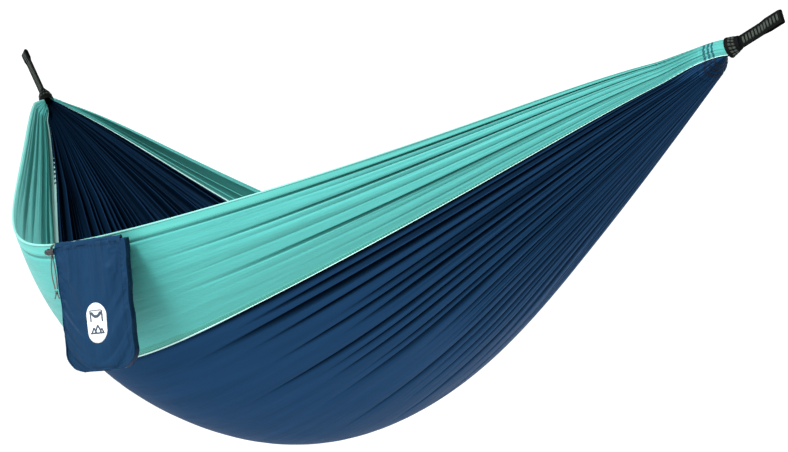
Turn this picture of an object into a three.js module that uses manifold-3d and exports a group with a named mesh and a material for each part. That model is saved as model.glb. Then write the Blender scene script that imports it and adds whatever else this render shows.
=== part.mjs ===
// Camping hammock: three sewn panels gathered at both ends, hung by two webbing loops,
// with its stuff sack sewn to the near edge. Millimetres, +Z up. X runs along the hammock,
// -Y is the near side, and the origin is midway between the two gathered ends.
import * as THREE from 'three';
import { mergeVertices } from 'three/addons/utils/BufferGeometryUtils.js';
import Module from 'manifold-3d';

const wasm = await Module();
wasm.setup();

// ---- Driving dimensions ----
const GAP = 0.3;                 // clearance between pieces that touch
const HALF_SPAN = 1100;          // origin to either gathered end
const BELLY_DEPTH = 697;         // fall of the middle line below the ends
const RIM_DEPTH = 643;           // the same for the two edges
const BUNDLE_RADIUS = 16;        // cloth bundle at each gathered end
const RIM_ANGLE = 56.5;          // edge of the cloth, degrees from straight down
const BUNDLE_ANGLE = 78;         // the same where the cloth is gathered
const DEPTH_BLEND = 2.1;         // how the depth passes from belly to rim
const BELLY_SHARPNESS = 0.18;    // small is a sharp belly, large a round one
const NEAR_SEAM = -0.628;        // seams between panels, -1 near edge to 1 far edge
const FAR_SEAM_MIDDLE = 0.66;
const FAR_SEAM_ENDS = 0.837;     // the far panel folds narrower towards the ends
const SEAM_SHARE = 0.018;        // width of a seam and of a hem, on the same scale
const HEM_SHARE = 0.034;
const CHANNEL_START = 0.96;      // the end channel runs from here to the gathered end
const CLOTH_THICKNESS = 2.5;
const SEAM_THICKNESS = 4;
const HEM_THICKNESS = 5;
const CHANNEL_THICKNESS = 5.2;

const COLLAR = { length: 22, radius: 19, endTall: 11.5, endThick: 6, wall: 3.4 };
const STRAPS = {
  left: { side: -1, elevation: 42, length: 150 },
  right: { side: 1, elevation: 24, length: 84 },
};
const WEBBING = { width: 20, thickness: 1.9, eyeGap: 6, eyeLength: 36, taper: 16, swingClearance: 1.8 };
const LAYER_GAP = 0.4;           // thread and air between the two sewn layers
const STITCHING = { width: 11, thickness: 0.6, margin: 6, eyeMargin: 12 };

const SACK = { place: 0.14, yaw: 19.3, tilt: 8.5, lean: 5, halfWidth: 75, height: 228, corner: 34 };
const SACK_WALL = 1.4;
const SACK_BACK = -1;            // outer face of the back panel, towards the hammock
const SACK_DEPTH = 18;           // back panel's inner face to the front panel
const HANG_TAPE = { length: 110, thickness: 3, width: 9, z: -14 };
const SLEEVE = { halfLength: 73, top: 1, height: 12, depth: 6, wall: 1.2 };
const CORD_RADIUS = 1.2;
const STRAND_SPREAD = 1.55;      // each of the two strands to the line between them
const LOCK = { left: -93, right: -77.6, radius: 6, bore: 4.6, floor: 1.4, centreZ: -17 };
const LOCK_HOLE = { x: -85.5, halfLength: 1.75, halfDepth: 3.2 };
const BUTTON = { left: -98.5, right: -83.1, radius: 4.3, wall: 0.9, travel: 2.5 };
const SPRING = { radius: 2.6, wire: 0.28, turns: 2 };
const KNOT = { x: -82.5, z: -87.5, radius: 3.6, halfHeight: 5 };
const LABEL = { x: 6, z: -147, width: 43, height: 69, thickness: 0.7 };
const PIPING = 2.2;              // width of the corded edge round the front panel
const CORNER_STEPS = 5;

// ---- Materials ----
const cloth = (color) => new THREE.MeshStandardMaterial({ color, roughness: 0.7, metalness: 0 });
const materials = {
  turquoise: cloth(0x54c8bd),
  navy: cloth(0x1f4268),
  seam: cloth(0x8fdcd2),
  webbing: cloth(0x161b1a),
  webbingThread: cloth(0x5d6b64),
  cord: cloth(0x23302c),
  plastic: new THREE.MeshStandardMaterial({ color: 0x1c1c1f, roughness: 0.45, metalness: 0 }),
  steel: new THREE.MeshStandardMaterial({ color: 0xb8bcc0, roughness: 0.3, metalness: 1 }),
  label: new THREE.MeshStandardMaterial({ color: 0xe9edf0, roughness: 0.6, metalness: 0 }),
};

const hammock = new THREE.Group();
const radians = THREE.MathUtils.degToRad;

function addMesh(parent, name, geometry, material) {
  const mesh = new THREE.Mesh(geometry, material);
  mesh.name = name;
  parent.add(mesh);
}

// ---- Solids from rings of points ----
function gridGeometry(points, triangles) {
  const geometry = new THREE.BufferGeometry().setFromPoints(points);
  let volume = 0;
  for (const [a, b, c] of triangles) {
    volume += points[a].dot(new THREE.Vector3().crossVectors(points[b], points[c]));
  }
  const facing = volume < 0 ? triangles.map(([a, b, c]) => [a, c, b]) : triangles;
  geometry.setIndex(facing.flat());
  geometry.computeVertexNormals();
  return geometry;
}

// Rings joined side to side: capped at both ends, or closed on itself when round is true.
function loft(rings, round = false) {
  const count = rings[0].length;
  const triangles = [];
  const spans = round ? rings.length : rings.length - 1;
  for (let r = 0; r < spans; r++) {
    const here = r * count;
    const next = ((r + 1) % rings.length) * count;
    for (let i = 0; i < count; i++) {
      const j = (i + 1) % count;
      triangles.push([here + i, here + j, next + j], [here + i, next + j, next + i]);
    }
  }
  if (!round) {
    const last = (rings.length - 1) * count;
    for (let i = 0; i < count / 2 - 1; i++) {
      const back = count - 1 - i;
      triangles.push([i, back, i + 1], [i + 1, back, back - 1]);
      triangles.push([last + i, last + i + 1, last + back]);
      triangles.push([last + i + 1, last + back - 1, last + back]);
    }
  }
  return gridGeometry(rings.flat(), triangles);
}

// ---- The hanging cloth ----
// u runs from -1 at the left gather to 1 at the right one, t from -1 at the near edge to 1.
function sagShare(u) {
  const sharp = BELLY_SHARPNESS;
  const top = Math.hypot(1, sharp);
  return (top - Math.hypot(u, sharp)) / (top - sharp);
}

function clothRadius(u, t) {
  const depth = BELLY_DEPTH + (RIM_DEPTH - BELLY_DEPTH) * Math.abs(t) ** DEPTH_BLEND;
  return depth * sagShare(u) + BUNDLE_RADIUS;
}

function edgeAngle(u) {
  return radians(RIM_ANGLE + (BUNDLE_ANGLE - RIM_ANGLE) * u ** 6);
}

function clothPoint(u, t, offset) {
  const radius = clothRadius(u, t) + offset;
  const angle = t * edgeAngle(u);
  return new THREE.Vector3(HALF_SPAN * u, radius * Math.sin(angle), -radius * Math.cos(angle));
}

function farSeam(u) {
  const share = THREE.MathUtils.smoothstep(Math.abs(u), 0.08, 0.5);
  return FAR_SEAM_MIDDLE + (FAR_SEAM_ENDS - FAR_SEAM_MIDDLE) * share;
}

const nearSeam = () => NEAR_SEAM;
const shifted = (line, share) => (u) => line(u) + share;

// A strip of cloth between two lines across it, held clear of its neighbours all round.
function clothStrip(low, high, from, to, stepsAlong, stepsAcross, thickness) {
  const rings = [];
  for (let i = 0; i <= stepsAlong; i++) {
    const u = from + ((to - from) * i) / stepsAlong;
    const clear = GAP / 2 / ((clothRadius(u, 1) - thickness) * edgeAngle(u));
    const start = low(u) + clear;
    const width = high(u) - clear - start;
    const across = (j) => start + (width * j) / stepsAcross;
    const ring = [];
    for (let j = 0; j <= stepsAcross; j++) ring.push(clothPoint(u, across(j), thickness / 2));
    for (let j = stepsAcross; j >= 0; j--) ring.push(clothPoint(u, across(j), -thickness / 2));
    rings.push(ring);
  }
  return loft(rings);
}

const nearEdge = () => -1;
const farEdge = () => 1;
const lines = {
  nearHem: shifted(nearEdge, HEM_SHARE),
  nearSeamLow: shifted(nearSeam, -SEAM_SHARE / 2),
  nearSeamHigh: shifted(nearSeam, SEAM_SHARE / 2),
  farSeamLow: shifted(farSeam, -SEAM_SHARE / 2),
  farSeamHigh: shifted(farSeam, SEAM_SHARE / 2),
  farHem: shifted(farEdge, -HEM_SHARE),
};

const STEPS_ALONG = 36;
const strips = [
  ['near_edge_hem', nearEdge, lines.nearHem, 1, HEM_THICKNESS, materials.turquoise],
  ['near_side_panel', lines.nearHem, lines.nearSeamLow, 4, CLOTH_THICKNESS, materials.turquoise],
  ['near_panel_seam', lines.nearSeamLow, lines.nearSeamHigh, 1, SEAM_THICKNESS, materials.seam],
  ['centre_panel', lines.nearSeamHigh, lines.farSeamLow, 14, CLOTH_THICKNESS, materials.navy],
  ['far_panel_seam', lines.farSeamLow, lines.farSeamHigh, 1, SEAM_THICKNESS, materials.seam],
  ['far_side_panel', lines.farSeamHigh, lines.farHem, 4, CLOTH_THICKNESS, materials.turquoise],
  ['far_edge_hem', lines.farHem, farEdge, 1, HEM_THICKNESS, materials.turquoise],
];
for (const [name, low, high, stepsAcross, thickness, material] of strips) {
  const strip = clothStrip(low, high, -CHANNEL_START, CHANNEL_START, STEPS_ALONG, stepsAcross, thickness);
  addMesh(hammock, name, strip, material);
}

// Folded-over end channels, in the colour of the panel that each stretch belongs to.
const channelStretches = [
  ['near', nearEdge, nearSeam, 3, materials.turquoise],
  ['centre', nearSeam, farSeam, 8, materials.navy],
  ['far', farSeam, farEdge, 2, materials.turquoise],
];
for (const [end, side] of [['left', -1], ['right', 1]]) {
  const from = side * (CHANNEL_START + GAP / HALF_SPAN);
  for (const [stretch, low, high, stepsAcross, material] of channelStretches) {
    const channel = clothStrip(low, high, from, side, 3, stepsAcross, CHANNEL_THICKNESS);
    addMesh(hammock, `${end}_end_channel_${stretch}`, channel, material);
  }
}

// ---- Suspension ----
// Local X leads from the gathered end along the strap, and local Z is the webbing's width.
function strapGroup({ side, elevation }) {
  const group = new THREE.Group();
  group.position.x = side * HALF_SPAN;
  const along = new THREE.Vector3(side * Math.cos(radians(elevation)), 0, Math.sin(radians(elevation)));
  const back = new THREE.Vector3(0, side, 0);
  const up = new THREE.Vector3().crossVectors(along, back);
  group.quaternion.setFromRotationMatrix(new THREE.Matrix4().makeBasis(along, back, up));
  return group;
}

function ellipseRing(x, tall, thick) {
  const sides = 16;
  const ring = [];
  for (let i = 0; i < sides; i++) {
    const angle = ((i + 0.5) / sides) * 2 * Math.PI;
    ring.push(new THREE.Vector3(x, thick * Math.cos(angle), tall * Math.sin(angle)));
  }
  return ring;
}

// The hitch of webbing round the bundle, tapering from the bundle to the strap.
function collarGeometry() {
  const { length, radius, endTall, endThick, wall } = COLLAR;
  return loft([
    ellipseRing(GAP, radius, radius),
    ellipseRing(length, endTall, endThick),
    ellipseRing(length, endTall - wall, endThick - wall),
    ellipseRing(GAP, radius - wall, radius - wall),
  ], true);
}

function bundleGeometry() {
  const { length, radius, endTall, endThick, wall } = COLLAR;
  const inset = wall + 3 * GAP;
  return loft([
    ellipseRing(GAP, radius - inset, radius - inset),
    ellipseRing(length, endTall - inset, endThick - inset),
  ]);
}

// Two layers of webbing sewn together, opening into a round eye at the outer end.
function strapGeometry({ length }) {
  const { width, thickness, eyeGap, eyeLength, taper } = WEBBING;
  const start = COLLAR.length + WEBBING.swingClearance;
  const end = start + length;
  const flat = thickness + LAYER_GAP / 2;
  const outer = eyeGap / 2 + thickness;
  const round = end - outer;
  const sewn = end - eyeLength - taper / 2;
  const opened = sewn + taper;
  const shape = new THREE.Shape();
  shape.moveTo(start, -flat);
  shape.lineTo(sewn, -flat);
  shape.lineTo(opened, -outer);
  shape.lineTo(round, -outer);
  shape.absarc(round, 0, outer, -Math.PI / 2, Math.PI / 2, false);
  shape.lineTo(opened, outer);
  shape.lineTo(sewn, flat);
  shape.lineTo(start, flat);
  const eye = new THREE.Path();
  eye.moveTo(opened - taper * 0.75, 0);
  eye.lineTo(opened, eyeGap / 2);
  eye.lineTo(round, eyeGap / 2);
  eye.absarc(round, 0, eyeGap / 2, Math.PI / 2, -Math.PI / 2, true);
  eye.lineTo(opened, -eyeGap / 2);
  shape.holes.push(eye);
  return new THREE.ExtrudeGeometry(shape, { depth: width, bevelEnabled: false, curveSegments: 6 })
    .translate(0, 0, -width / 2);
}

function stitchingGeometry({ side, length }) {
  const strapStart = COLLAR.length + WEBBING.swingClearance;
  const start = strapStart + STITCHING.margin;
  const end = strapStart + length - WEBBING.eyeLength - STITCHING.eyeMargin;
  const face = -side * (WEBBING.thickness + LAYER_GAP / 2 + GAP + STITCHING.thickness / 2);
  return new THREE.BoxGeometry(end - start, STITCHING.thickness, STITCHING.width)
    .translate((start + end) / 2, face, 0);
}

for (const [end, strap] of Object.entries(STRAPS)) {
  const group = strapGroup(strap);
  addMesh(group, `${end}_gathered_bundle`, bundleGeometry(), materials.navy);
  addMesh(group, `${end}_webbing_collar`, collarGeometry(), materials.webbing);
  addMesh(group, `${end}_strap_loop`, strapGeometry(strap), materials.webbing);
  addMesh(group, `${end}_strap_stitching`, stitchingGeometry(strap), materials.webbingThread);
  hammock.add(group);
}

// ---- Stuff sack ----
// Local X runs along the hem, local Y into the hammock, and local Z up the sack.
const sack = new THREE.Group();
sack.position.copy(clothPoint(SACK.place, -1, HEM_THICKNESS / 2 + GAP));
const yaw = new THREE.Matrix4().makeRotationZ(radians(SACK.yaw));
const tilt = new THREE.Matrix4().makeRotationY(radians(-SACK.tilt));
const lean = new THREE.Matrix4().makeRotationX(radians(SACK.lean));
sack.quaternion.setFromRotationMatrix(yaw.multiply(tilt).multiply(lean));
hammock.add(sack);

// The sack's outline from above: straight sides and round bottom corners, grown by offset.
function sackOutline(offset, top) {
  const { halfWidth, height, corner } = SACK;
  const side = halfWidth + offset;
  const shape = new THREE.Shape();
  shape.moveTo(-side, top);
  shape.lineTo(-side, -height + corner);
  shape.absarc(-halfWidth + corner, -height + corner, corner + offset, Math.PI, 1.5 * Math.PI, false);
  shape.absarc(halfWidth - corner, -height + corner, corner + offset, 1.5 * Math.PI, 2 * Math.PI, false);
  shape.lineTo(side, top);
  return shape;
}

// Extrudes a shape drawn in local XZ from back towards the front, which is -Y.
function standing(shape, back, depth, curveSegments = CORNER_STEPS) {
  return new THREE.ExtrudeGeometry(shape, { depth, bevelEnabled: false, curveSegments })
    .rotateX(Math.PI / 2).translate(0, back, 0);
}

const insideBack = SACK_BACK - SACK_WALL;
const insideFront = insideBack - SACK_DEPTH;
const sleeveBottom = SLEEVE.top - SLEEVE.height;

addMesh(sack, 'sack_back_panel', standing(sackOutline(0, 0), SACK_BACK, SACK_WALL), materials.navy);
const frontPanel = standing(sackOutline(0, sleeveBottom - GAP), insideFront, SACK_WALL);
addMesh(sack, 'sack_front_panel', frontPanel, materials.navy);

// A band that follows the sides and bottom of the sack between two offsets of its outline.
function outlineBand(inner, outer, back, depth) {
  const top = sleeveBottom - GAP;
  const outside = sackOutline(outer, top).getPoints(CORNER_STEPS);
  const inside = sackOutline(inner, top).getPoints(CORNER_STEPS).reverse();
  return standing(new THREE.Shape([...outside, ...inside]), back, depth);
}

const gusset = outlineBand(-SACK_WALL, 0, insideBack - GAP, SACK_DEPTH - 2 * GAP);
addMesh(sack, 'sack_gusset', gusset, materials.navy);

const piping = outlineBand(GAP, GAP + PIPING, insideFront + PIPING / 2, PIPING);
addMesh(sack, 'sack_piping', piping, materials.navy);

function sweptTube(path, radius, sides, steps) {
  const section = new THREE.Shape();
  section.absarc(0, 0, radius, 0, 2 * Math.PI, false);
  const points = section.getSpacedPoints(sides).slice(0, sides);
  const outline = new THREE.Shape(points);
  return new THREE.ExtrudeGeometry(outline, { steps, extrudePath: path, bevelEnabled: false });
}

// The tape that carries the sack: sewn behind its back panel and under the hem.
const tape = new THREE.BoxGeometry(HANG_TAPE.length, HANG_TAPE.thickness, HANG_TAPE.width)
  .translate(0, HANG_TAPE.thickness / 2 + SACK_BACK + GAP, HANG_TAPE.z);
addMesh(sack, 'sack_hang_tape', tape, materials.navy);

// Drawcord sleeve across the mouth, open at both ends.
const sleeveBack = insideFront + SLEEVE.depth / 2;
function sleeveRing(x, inset) {
  const y0 = sleeveBack - inset;
  const y1 = sleeveBack - SLEEVE.depth + inset;
  const z0 = sleeveBottom + inset;
  const z1 = SLEEVE.top - inset;
  return [[y0, z0], [y1, z0], [y1, z1], [y0, z1]].map(([y, z]) => new THREE.Vector3(x, y, z));
}
const sleeve = loft([
  sleeveRing(-SLEEVE.halfLength, 0),
  sleeveRing(SLEEVE.halfLength, 0),
  sleeveRing(SLEEVE.halfLength, SLEEVE.wall),
  sleeveRing(-SLEEVE.halfLength, SLEEVE.wall),
], true);
addMesh(sack, 'sack_drawcord_sleeve', sleeve, materials.navy);

const cordY = sleeveBack - SLEEVE.depth / 2;
const cordZ = SLEEVE.top - SLEEVE.height / 2;
const hiddenRun = new THREE.LineCurve3(
  new THREE.Vector3(-SLEEVE.halfLength + 1, cordY, cordZ),
  new THREE.Vector3(SLEEVE.halfLength - 2, cordY, cordZ),
);
addMesh(sack, 'drawcord_in_sleeve', sweptTube(hiddenRun, CORD_RADIUS, 8, 1), materials.cord);

// Two strands leave the sleeve, pass down through the cord lock and end in one knot.
const strands = [
  ['drawcord_front_strand', -1, [
    [-73.5, -5], [-76, -5], [-78.8, -5.2], [-81.6, -6.1], [-83.9, -7.8], [-85.2, -10.2], [-85.5, -13],
    [-85.5, -17], [-85.5, -21], [-85.6, -25], [-86.2, -31], [-87.3, -39], [-88.1, -48], [-88, -57],
    [-87, -66], [-85.3, -74], [-84.1, -80], [-84, -82.2],
  ]],
  ['drawcord_back_strand', 1, [
    [-73.5, -5], [-76, -5], [-78.8, -5.2], [-81.6, -6.1], [-83.9, -7.8], [-85.2, -10.2], [-85.5, -13],
    [-85.5, -17], [-85.5, -21], [-85.4, -25], [-84.9, -31], [-83.7, -39], [-82.6, -48], [-81.9, -57],
    [-81.5, -66], [-81.3, -74], [-81.1, -80], [-81, -82.2],
  ]],
];
for (const [name, side, route] of strands) {
  const points = route.map(([x, z]) => new THREE.Vector3(x, cordY + side * STRAND_SPREAD, z));
  const path = new THREE.CatmullRomCurve3(points, false, 'centripetal');
  addMesh(sack, name, sweptTube(path, CORD_RADIUS, 8, 30), materials.cord);
}

const knot = new THREE.SphereGeometry(1, 10, 6)
  .scale(KNOT.radius, KNOT.radius, KNOT.halfHeight).translate(KNOT.x, cordY, KNOT.z);
addMesh(sack, 'drawcord_knot', knot, materials.cord);

// ---- Cord lock: a barrel with a sprung button, both pierced for the two strands ----
function solidOf(geometry) {
  const bare = geometry.clone();
  bare.deleteAttribute('normal');
  bare.deleteAttribute('uv');
  const merged = mergeVertices(bare, 1e-4);
  return new wasm.Manifold(new wasm.Mesh({
    numProp: 3,
    vertProperties: merged.attributes.position.array,
    triVerts: new Uint32Array(merged.index.array),
  }));
}

function geometryOf(solid) {
  const { vertProperties, triVerts } = solid.getMesh();
  const geometry = new THREE.BufferGeometry();
  geometry.setAttribute('position', new THREE.BufferAttribute(vertProperties, 3));
  geometry.setIndex(new THREE.BufferAttribute(triVerts, 1));
  geometry.computeVertexNormals();
  return geometry;
}

// A cylinder along local X between two ends.
function rod(radius, left, right, sides) {
  return new THREE.CylinderGeometry(radius, radius, right - left, sides)
    .rotateZ(Math.PI / 2).translate((left + right) / 2, cordY, LOCK.centreZ);
}

function slot(left, right) {
  return new THREE.BoxGeometry(right - left, 2 * LOCK_HOLE.halfDepth, 4 * LOCK.radius)
    .translate((left + right) / 2, cordY, LOCK.centreZ);
}

const barrel = solidOf(rod(LOCK.radius, LOCK.left, LOCK.right, 20))
  .subtract(solidOf(rod(LOCK.bore, LOCK.left - 1, LOCK.right - LOCK.floor, 20)))
  .subtract(solidOf(slot(LOCK_HOLE.x - LOCK_HOLE.halfLength, LOCK_HOLE.x + LOCK_HOLE.halfLength)));
addMesh(sack, 'cord_lock_barrel', geometryOf(barrel), materials.plastic);

const buttonSlotRight = BUTTON.right - BUTTON.wall;
const buttonSlotLeft = LOCK_HOLE.x - CORD_RADIUS - GAP - BUTTON.travel;
const button = solidOf(rod(BUTTON.radius, BUTTON.left, BUTTON.right, 16))
  .subtract(solidOf(slot(buttonSlotLeft, buttonSlotRight)));
addMesh(sack, 'cord_lock_button', geometryOf(button), materials.plastic);

class SpringPath extends THREE.Curve {
  getPoint(share) {
    const angle = share * SPRING.turns * 2 * Math.PI;
    const left = BUTTON.right + GAP + SPRING.wire;
    const right = LOCK.right - LOCK.floor - GAP - SPRING.wire;
    return new THREE.Vector3(
      left + (right - left) * share,
      cordY + SPRING.radius * Math.cos(angle),
      LOCK.centreZ + SPRING.radius * Math.sin(angle),
    );
  }
}
addMesh(sack, 'cord_lock_spring', sweptTube(new SpringPath(), SPRING.wire, 6, 24), materials.steel);

// Sewn label on the front panel: a tall shape with round ends.
function labelShape() {
  const radius = LABEL.width / 2;
  const straight = LABEL.height / 2 - radius;
  const shape = new THREE.Shape();
  shape.absarc(LABEL.x, LABEL.z + straight, radius, 0, Math.PI, false);
  shape.absarc(LABEL.x, LABEL.z - straight, radius, Math.PI, 2 * Math.PI, false);
  return shape;
}
const labelBack = insideFront - SACK_WALL - GAP;
addMesh(sack, 'sack_label', standing(labelShape(), labelBack, LABEL.thickness, 8), materials.label);

export default hammock;
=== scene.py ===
"""Camping hammock: the looks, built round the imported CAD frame.

Metres, +Z up. X runs along the hammock, -Y is the near side, and the origin is midway between
the two gathered ends. The cloth is one surface, worked out by cloth(), and every panel, hem,
seam and end channel is a stretch of it.
"""
import math

import bpy
import bmesh
import numpy as np
from mathutils import Matrix, Vector
from mathutils.bvhtree import BVHTree


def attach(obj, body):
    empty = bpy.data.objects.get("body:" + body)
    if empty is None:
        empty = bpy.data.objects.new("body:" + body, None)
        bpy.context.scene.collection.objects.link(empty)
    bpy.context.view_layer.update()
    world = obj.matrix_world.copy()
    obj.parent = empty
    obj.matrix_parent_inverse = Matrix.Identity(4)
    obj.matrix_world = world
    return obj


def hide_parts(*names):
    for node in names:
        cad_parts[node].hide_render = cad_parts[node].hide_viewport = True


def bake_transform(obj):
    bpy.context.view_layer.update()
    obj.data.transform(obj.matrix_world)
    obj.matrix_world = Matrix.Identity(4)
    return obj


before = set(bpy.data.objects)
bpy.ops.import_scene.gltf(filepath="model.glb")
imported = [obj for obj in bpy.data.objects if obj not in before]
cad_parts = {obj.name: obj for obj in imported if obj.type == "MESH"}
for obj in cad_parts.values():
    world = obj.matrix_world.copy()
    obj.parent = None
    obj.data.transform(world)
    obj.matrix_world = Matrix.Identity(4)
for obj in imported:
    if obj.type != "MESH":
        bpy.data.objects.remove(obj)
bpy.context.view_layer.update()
rng = np.random.default_rng(11)

# ---- Driving dimensions, as the frame has them ----
HALF_SPAN = 1.100
BELLY_DEPTH = 0.697
RIM_DEPTH = 0.643
BUNDLE_RADIUS = 0.016
RIM_ANGLE = math.radians(56.5)
BUNDLE_ANGLE = math.radians(78)
DEPTH_BLEND = 2.1
BELLY_SHARPNESS = 0.18
NEAR_SEAM = -0.628
FAR_SEAM_MIDDLE = 0.66
FAR_SEAM_ENDS = 0.837
SEAM_SHARE = 0.018
HEM_SHARE = 0.034
CHANNEL_START = 0.96
FLAT_HALF_LENGTH = 1.31          # the cloth laid flat: half its length and half its width
FLAT_HALF_WIDTH = 0.69
FABRIC = 0.0005                  # thickness of one layer of cloth

ENDS = {"left": -1, "right": 1}
ELEVATION = {"left": math.radians(42), "right": math.radians(24)}
STRAP_LENGTH = {"left": 0.150, "right": 0.084}
COLLAR = {"length": 0.022, "radius": 0.019, "tall": 0.0115, "thick": 0.006}
COLLAR_START = {"left": -0.022, "right": -0.0012}
WEBBING = {"width": 0.020, "thickness": 0.0019, "eye_gap": 0.006, "eye_length": 0.036,
           "taper": 0.016, "start": 0.0238, "layer_gap": 0.0004}
RUNG = {"pitch": 0.0064, "margin": 0.006, "lean": 0.04, "thread_pitch": 0.00088, "length": 0.0118,
        "thread": 0.00095}

SACK = {"half_width": 0.075, "height": 0.228, "corner": 0.034, "front_top": -0.0085,
        "back_top": -0.007, "back": -0.0012, "front": -0.0206}
SLEEVE = {"half_length": 0.0735, "low": -0.0130, "high": -0.0025, "near": -0.0234, "far": -0.0174}
CORD = {"radius": 0.0012, "y": -0.0204, "z": -0.005, "spread": 0.00155}
LOCK = {"left": -0.093, "right": -0.0776, "radius": 0.006, "bore": 0.0046, "z": -0.017,
        "hole": -0.0855, "hole_half_length": 0.00175, "hole_half_depth": 0.0032, "floor": 0.0014}
BUTTON = {"left": -0.0985, "right": -0.0831, "radius": 0.0043, "travel": 0.0025, "wall": 0.0009}
KNOT = {"x": -0.0825, "z": -0.0875, "radius": 0.0030, "half_height": 0.0042, "cord": 0.00105,
        "length": 0.04}
LABEL = {"x": 0.006, "z": -0.147, "half_width": 0.0215, "half_height": 0.0345}

# ---- Camera ----
CAMERA_AZIMUTH = math.radians(52.25)
CAMERA_ELEVATION = math.radians(-1.73)
CAMERA_ROLL = math.radians(4.22)
CAMERA_DISTANCE = 3.432
CAMERA_TARGET = Vector((0.3133, 0, -0.2826))
CAMERA_LENS = 86.1


def camera_axes():
    """The camera's right, up and backward directions."""
    level = math.cos(CAMERA_ELEVATION)
    back = Vector((math.sin(CAMERA_AZIMUTH) * level, -math.cos(CAMERA_AZIMUTH) * level,
                   math.sin(CAMERA_ELEVATION)))
    flat_right = Vector((0, 0, 1)).cross(back).normalized()
    flat_up = back.cross(flat_right)
    right = flat_right * math.cos(CAMERA_ROLL) + flat_up * math.sin(CAMERA_ROLL)
    up = flat_up * math.cos(CAMERA_ROLL) - flat_right * math.sin(CAMERA_ROLL)
    return right, up, back


def add_camera():
    right, up, back = camera_axes()
    data = bpy.data.cameras.new("camera")
    data.lens = CAMERA_LENS
    data.sensor_width = 36
    data.sensor_fit = "HORIZONTAL"
    camera = bpy.data.objects.new("camera", data)
    turn = Matrix((right, up, back)).transposed().to_4x4()
    camera.matrix_world = Matrix.Translation(CAMERA_TARGET + back * CAMERA_DISTANCE) @ turn
    bpy.context.scene.collection.objects.link(camera)
    bpy.context.scene.camera = camera


add_camera()


# ---- Meshes ----
def link_mesh(name, vertices, faces, material, uv=None, smooth=True):
    """uv is one pair for each vertex."""
    mesh = bpy.data.meshes.new(name)
    mesh.from_pydata([tuple(v) for v in vertices], [], [tuple(f) for f in faces])
    mesh.polygons.foreach_set("use_smooth", [smooth] * len(mesh.polygons))
    if uv is not None:
        corners = np.zeros(len(mesh.loops), np.int32)
        mesh.loops.foreach_get("vertex_index", corners)
        layer = mesh.uv_layers.new(name="cloth")
        layer.data.foreach_set("uv", np.asarray(uv, np.float32)[corners].ravel())
    mesh.materials.append(material)
    piece = bpy.data.objects.new(name, mesh)
    bpy.context.scene.collection.objects.link(piece)
    return piece


def edit_mesh(piece, change):
    """Runs one bmesh change on the piece's mesh."""
    work = bmesh.new()
    work.from_mesh(piece.data)
    change(work)
    work.to_mesh(piece.data)
    work.free()


def face_outwards(piece):
    """Turns the faces of a closed piece outwards."""
    edit_mesh(piece, lambda work: bmesh.ops.recalc_face_normals(work, faces=work.faces))


def full_turn(count):
    """Angles evenly round a circle."""
    return np.linspace(0, 2 * math.pi, count, endpoint=False)


def bulge(value, power):
    """A sine or cosine drawn towards 1 or -1, which squares off a round section."""
    return np.sign(value) * np.abs(value) ** power


def pair_up(first, second):
    """Two arrays of any shapes that fit together, as pairs."""
    return np.stack(np.broadcast_arrays(first, second), axis=-1)


def lengths_along(points):
    """How far along the line each of its points is."""
    return np.concatenate([[0], np.cumsum(np.linalg.norm(np.diff(points, axis=0), axis=1))])


def grid_faces(rows, columns, wrap=False):
    index = np.arange(rows * columns).reshape(rows, columns)
    if wrap:
        index = np.concatenate([index, index[:, :1]], axis=1)
    corners = [index[:-1, :-1], index[:-1, 1:], index[1:, 1:], index[1:, :-1]]
    return np.stack([c.ravel() for c in corners], axis=1).tolist()


def capped_faces(rows, columns):
    """Rings joined end to end, with a flat cap at each end."""
    first = list(range(columns))
    last = list(range((rows - 1) * columns, rows * columns))[::-1]
    return grid_faces(rows, columns, wrap=True) + [first, last]


def loop_faces(rows, columns):
    """Rings joined end to end, the last one to the first."""
    last = (rows - 1) * columns
    closing = [[last + i, last + (i + 1) % columns, (i + 1) % columns, i] for i in range(columns)]
    return grid_faces(rows, columns, wrap=True) + closing


def sheet_piece(name, points, uv, material, thickness=FABRIC):
    """An open grid of points, thickened."""
    faces = grid_faces(*points.shape[:2])
    piece = link_mesh(name, points.reshape(-1, 3), faces, material, uv.reshape(-1, 2))
    solid = piece.modifiers.new("thickness", "SOLIDIFY")
    solid.thickness = thickness
    solid.offset = 0
    return piece


def tube_piece(name, rings, uv, material):
    """Rings of points joined end to end, with a flat cap at each end."""
    faces = capped_faces(*rings.shape[:2])
    piece = link_mesh(name, rings.reshape(-1, 3), faces, material, uv.reshape(-1, 2))
    face_outwards(piece)
    return piece


def path_frames(path, up):
    """Unit tangents and two normals along a path of points; up is roughly the first normal."""
    path = np.asarray(path, float)
    tangent = np.gradient(path, axis=0)
    tangent /= np.linalg.norm(tangent, axis=1, keepdims=True)
    normal = np.empty_like(path)
    last = np.asarray(up, float)
    for i, direction in enumerate(tangent):
        last = last - direction * last.dot(direction)
        last /= np.linalg.norm(last)
        normal[i] = last
    return tangent, normal, np.cross(tangent, normal)


def ring_directions(normal, side, angle):
    """For each place on a path, the directions from it at each angle round it."""
    return normal[:, None] * np.cos(angle)[None, :, None] + side[:, None] * np.sin(angle)[None, :, None]


def tube_rings(path, radius, sides=12, up=(0, 0, 1)):
    """Rings and uv of a round tube along a path; radius is one number or one for each point."""
    path = np.asarray(path, float)
    _, normal, side = path_frames(path, up)
    angle = full_turn(sides)
    size = np.broadcast_to(radius, len(path))[:, None, None]
    rings = path[:, None] + size * ring_directions(normal, side, angle)
    return rings, pair_up(lengths_along(path)[:, None], (angle * np.mean(radius))[None, :])


STITCH_STATIONS = ((-0.5, 0.35), (-0.3, 0.9), (0.0, 1.0), (0.3, 0.9), (0.5, 0.35))   # place, thickness
STITCH_SIDES = 6
STITCH_HEIGHT = 0.8              # of its width


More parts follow.
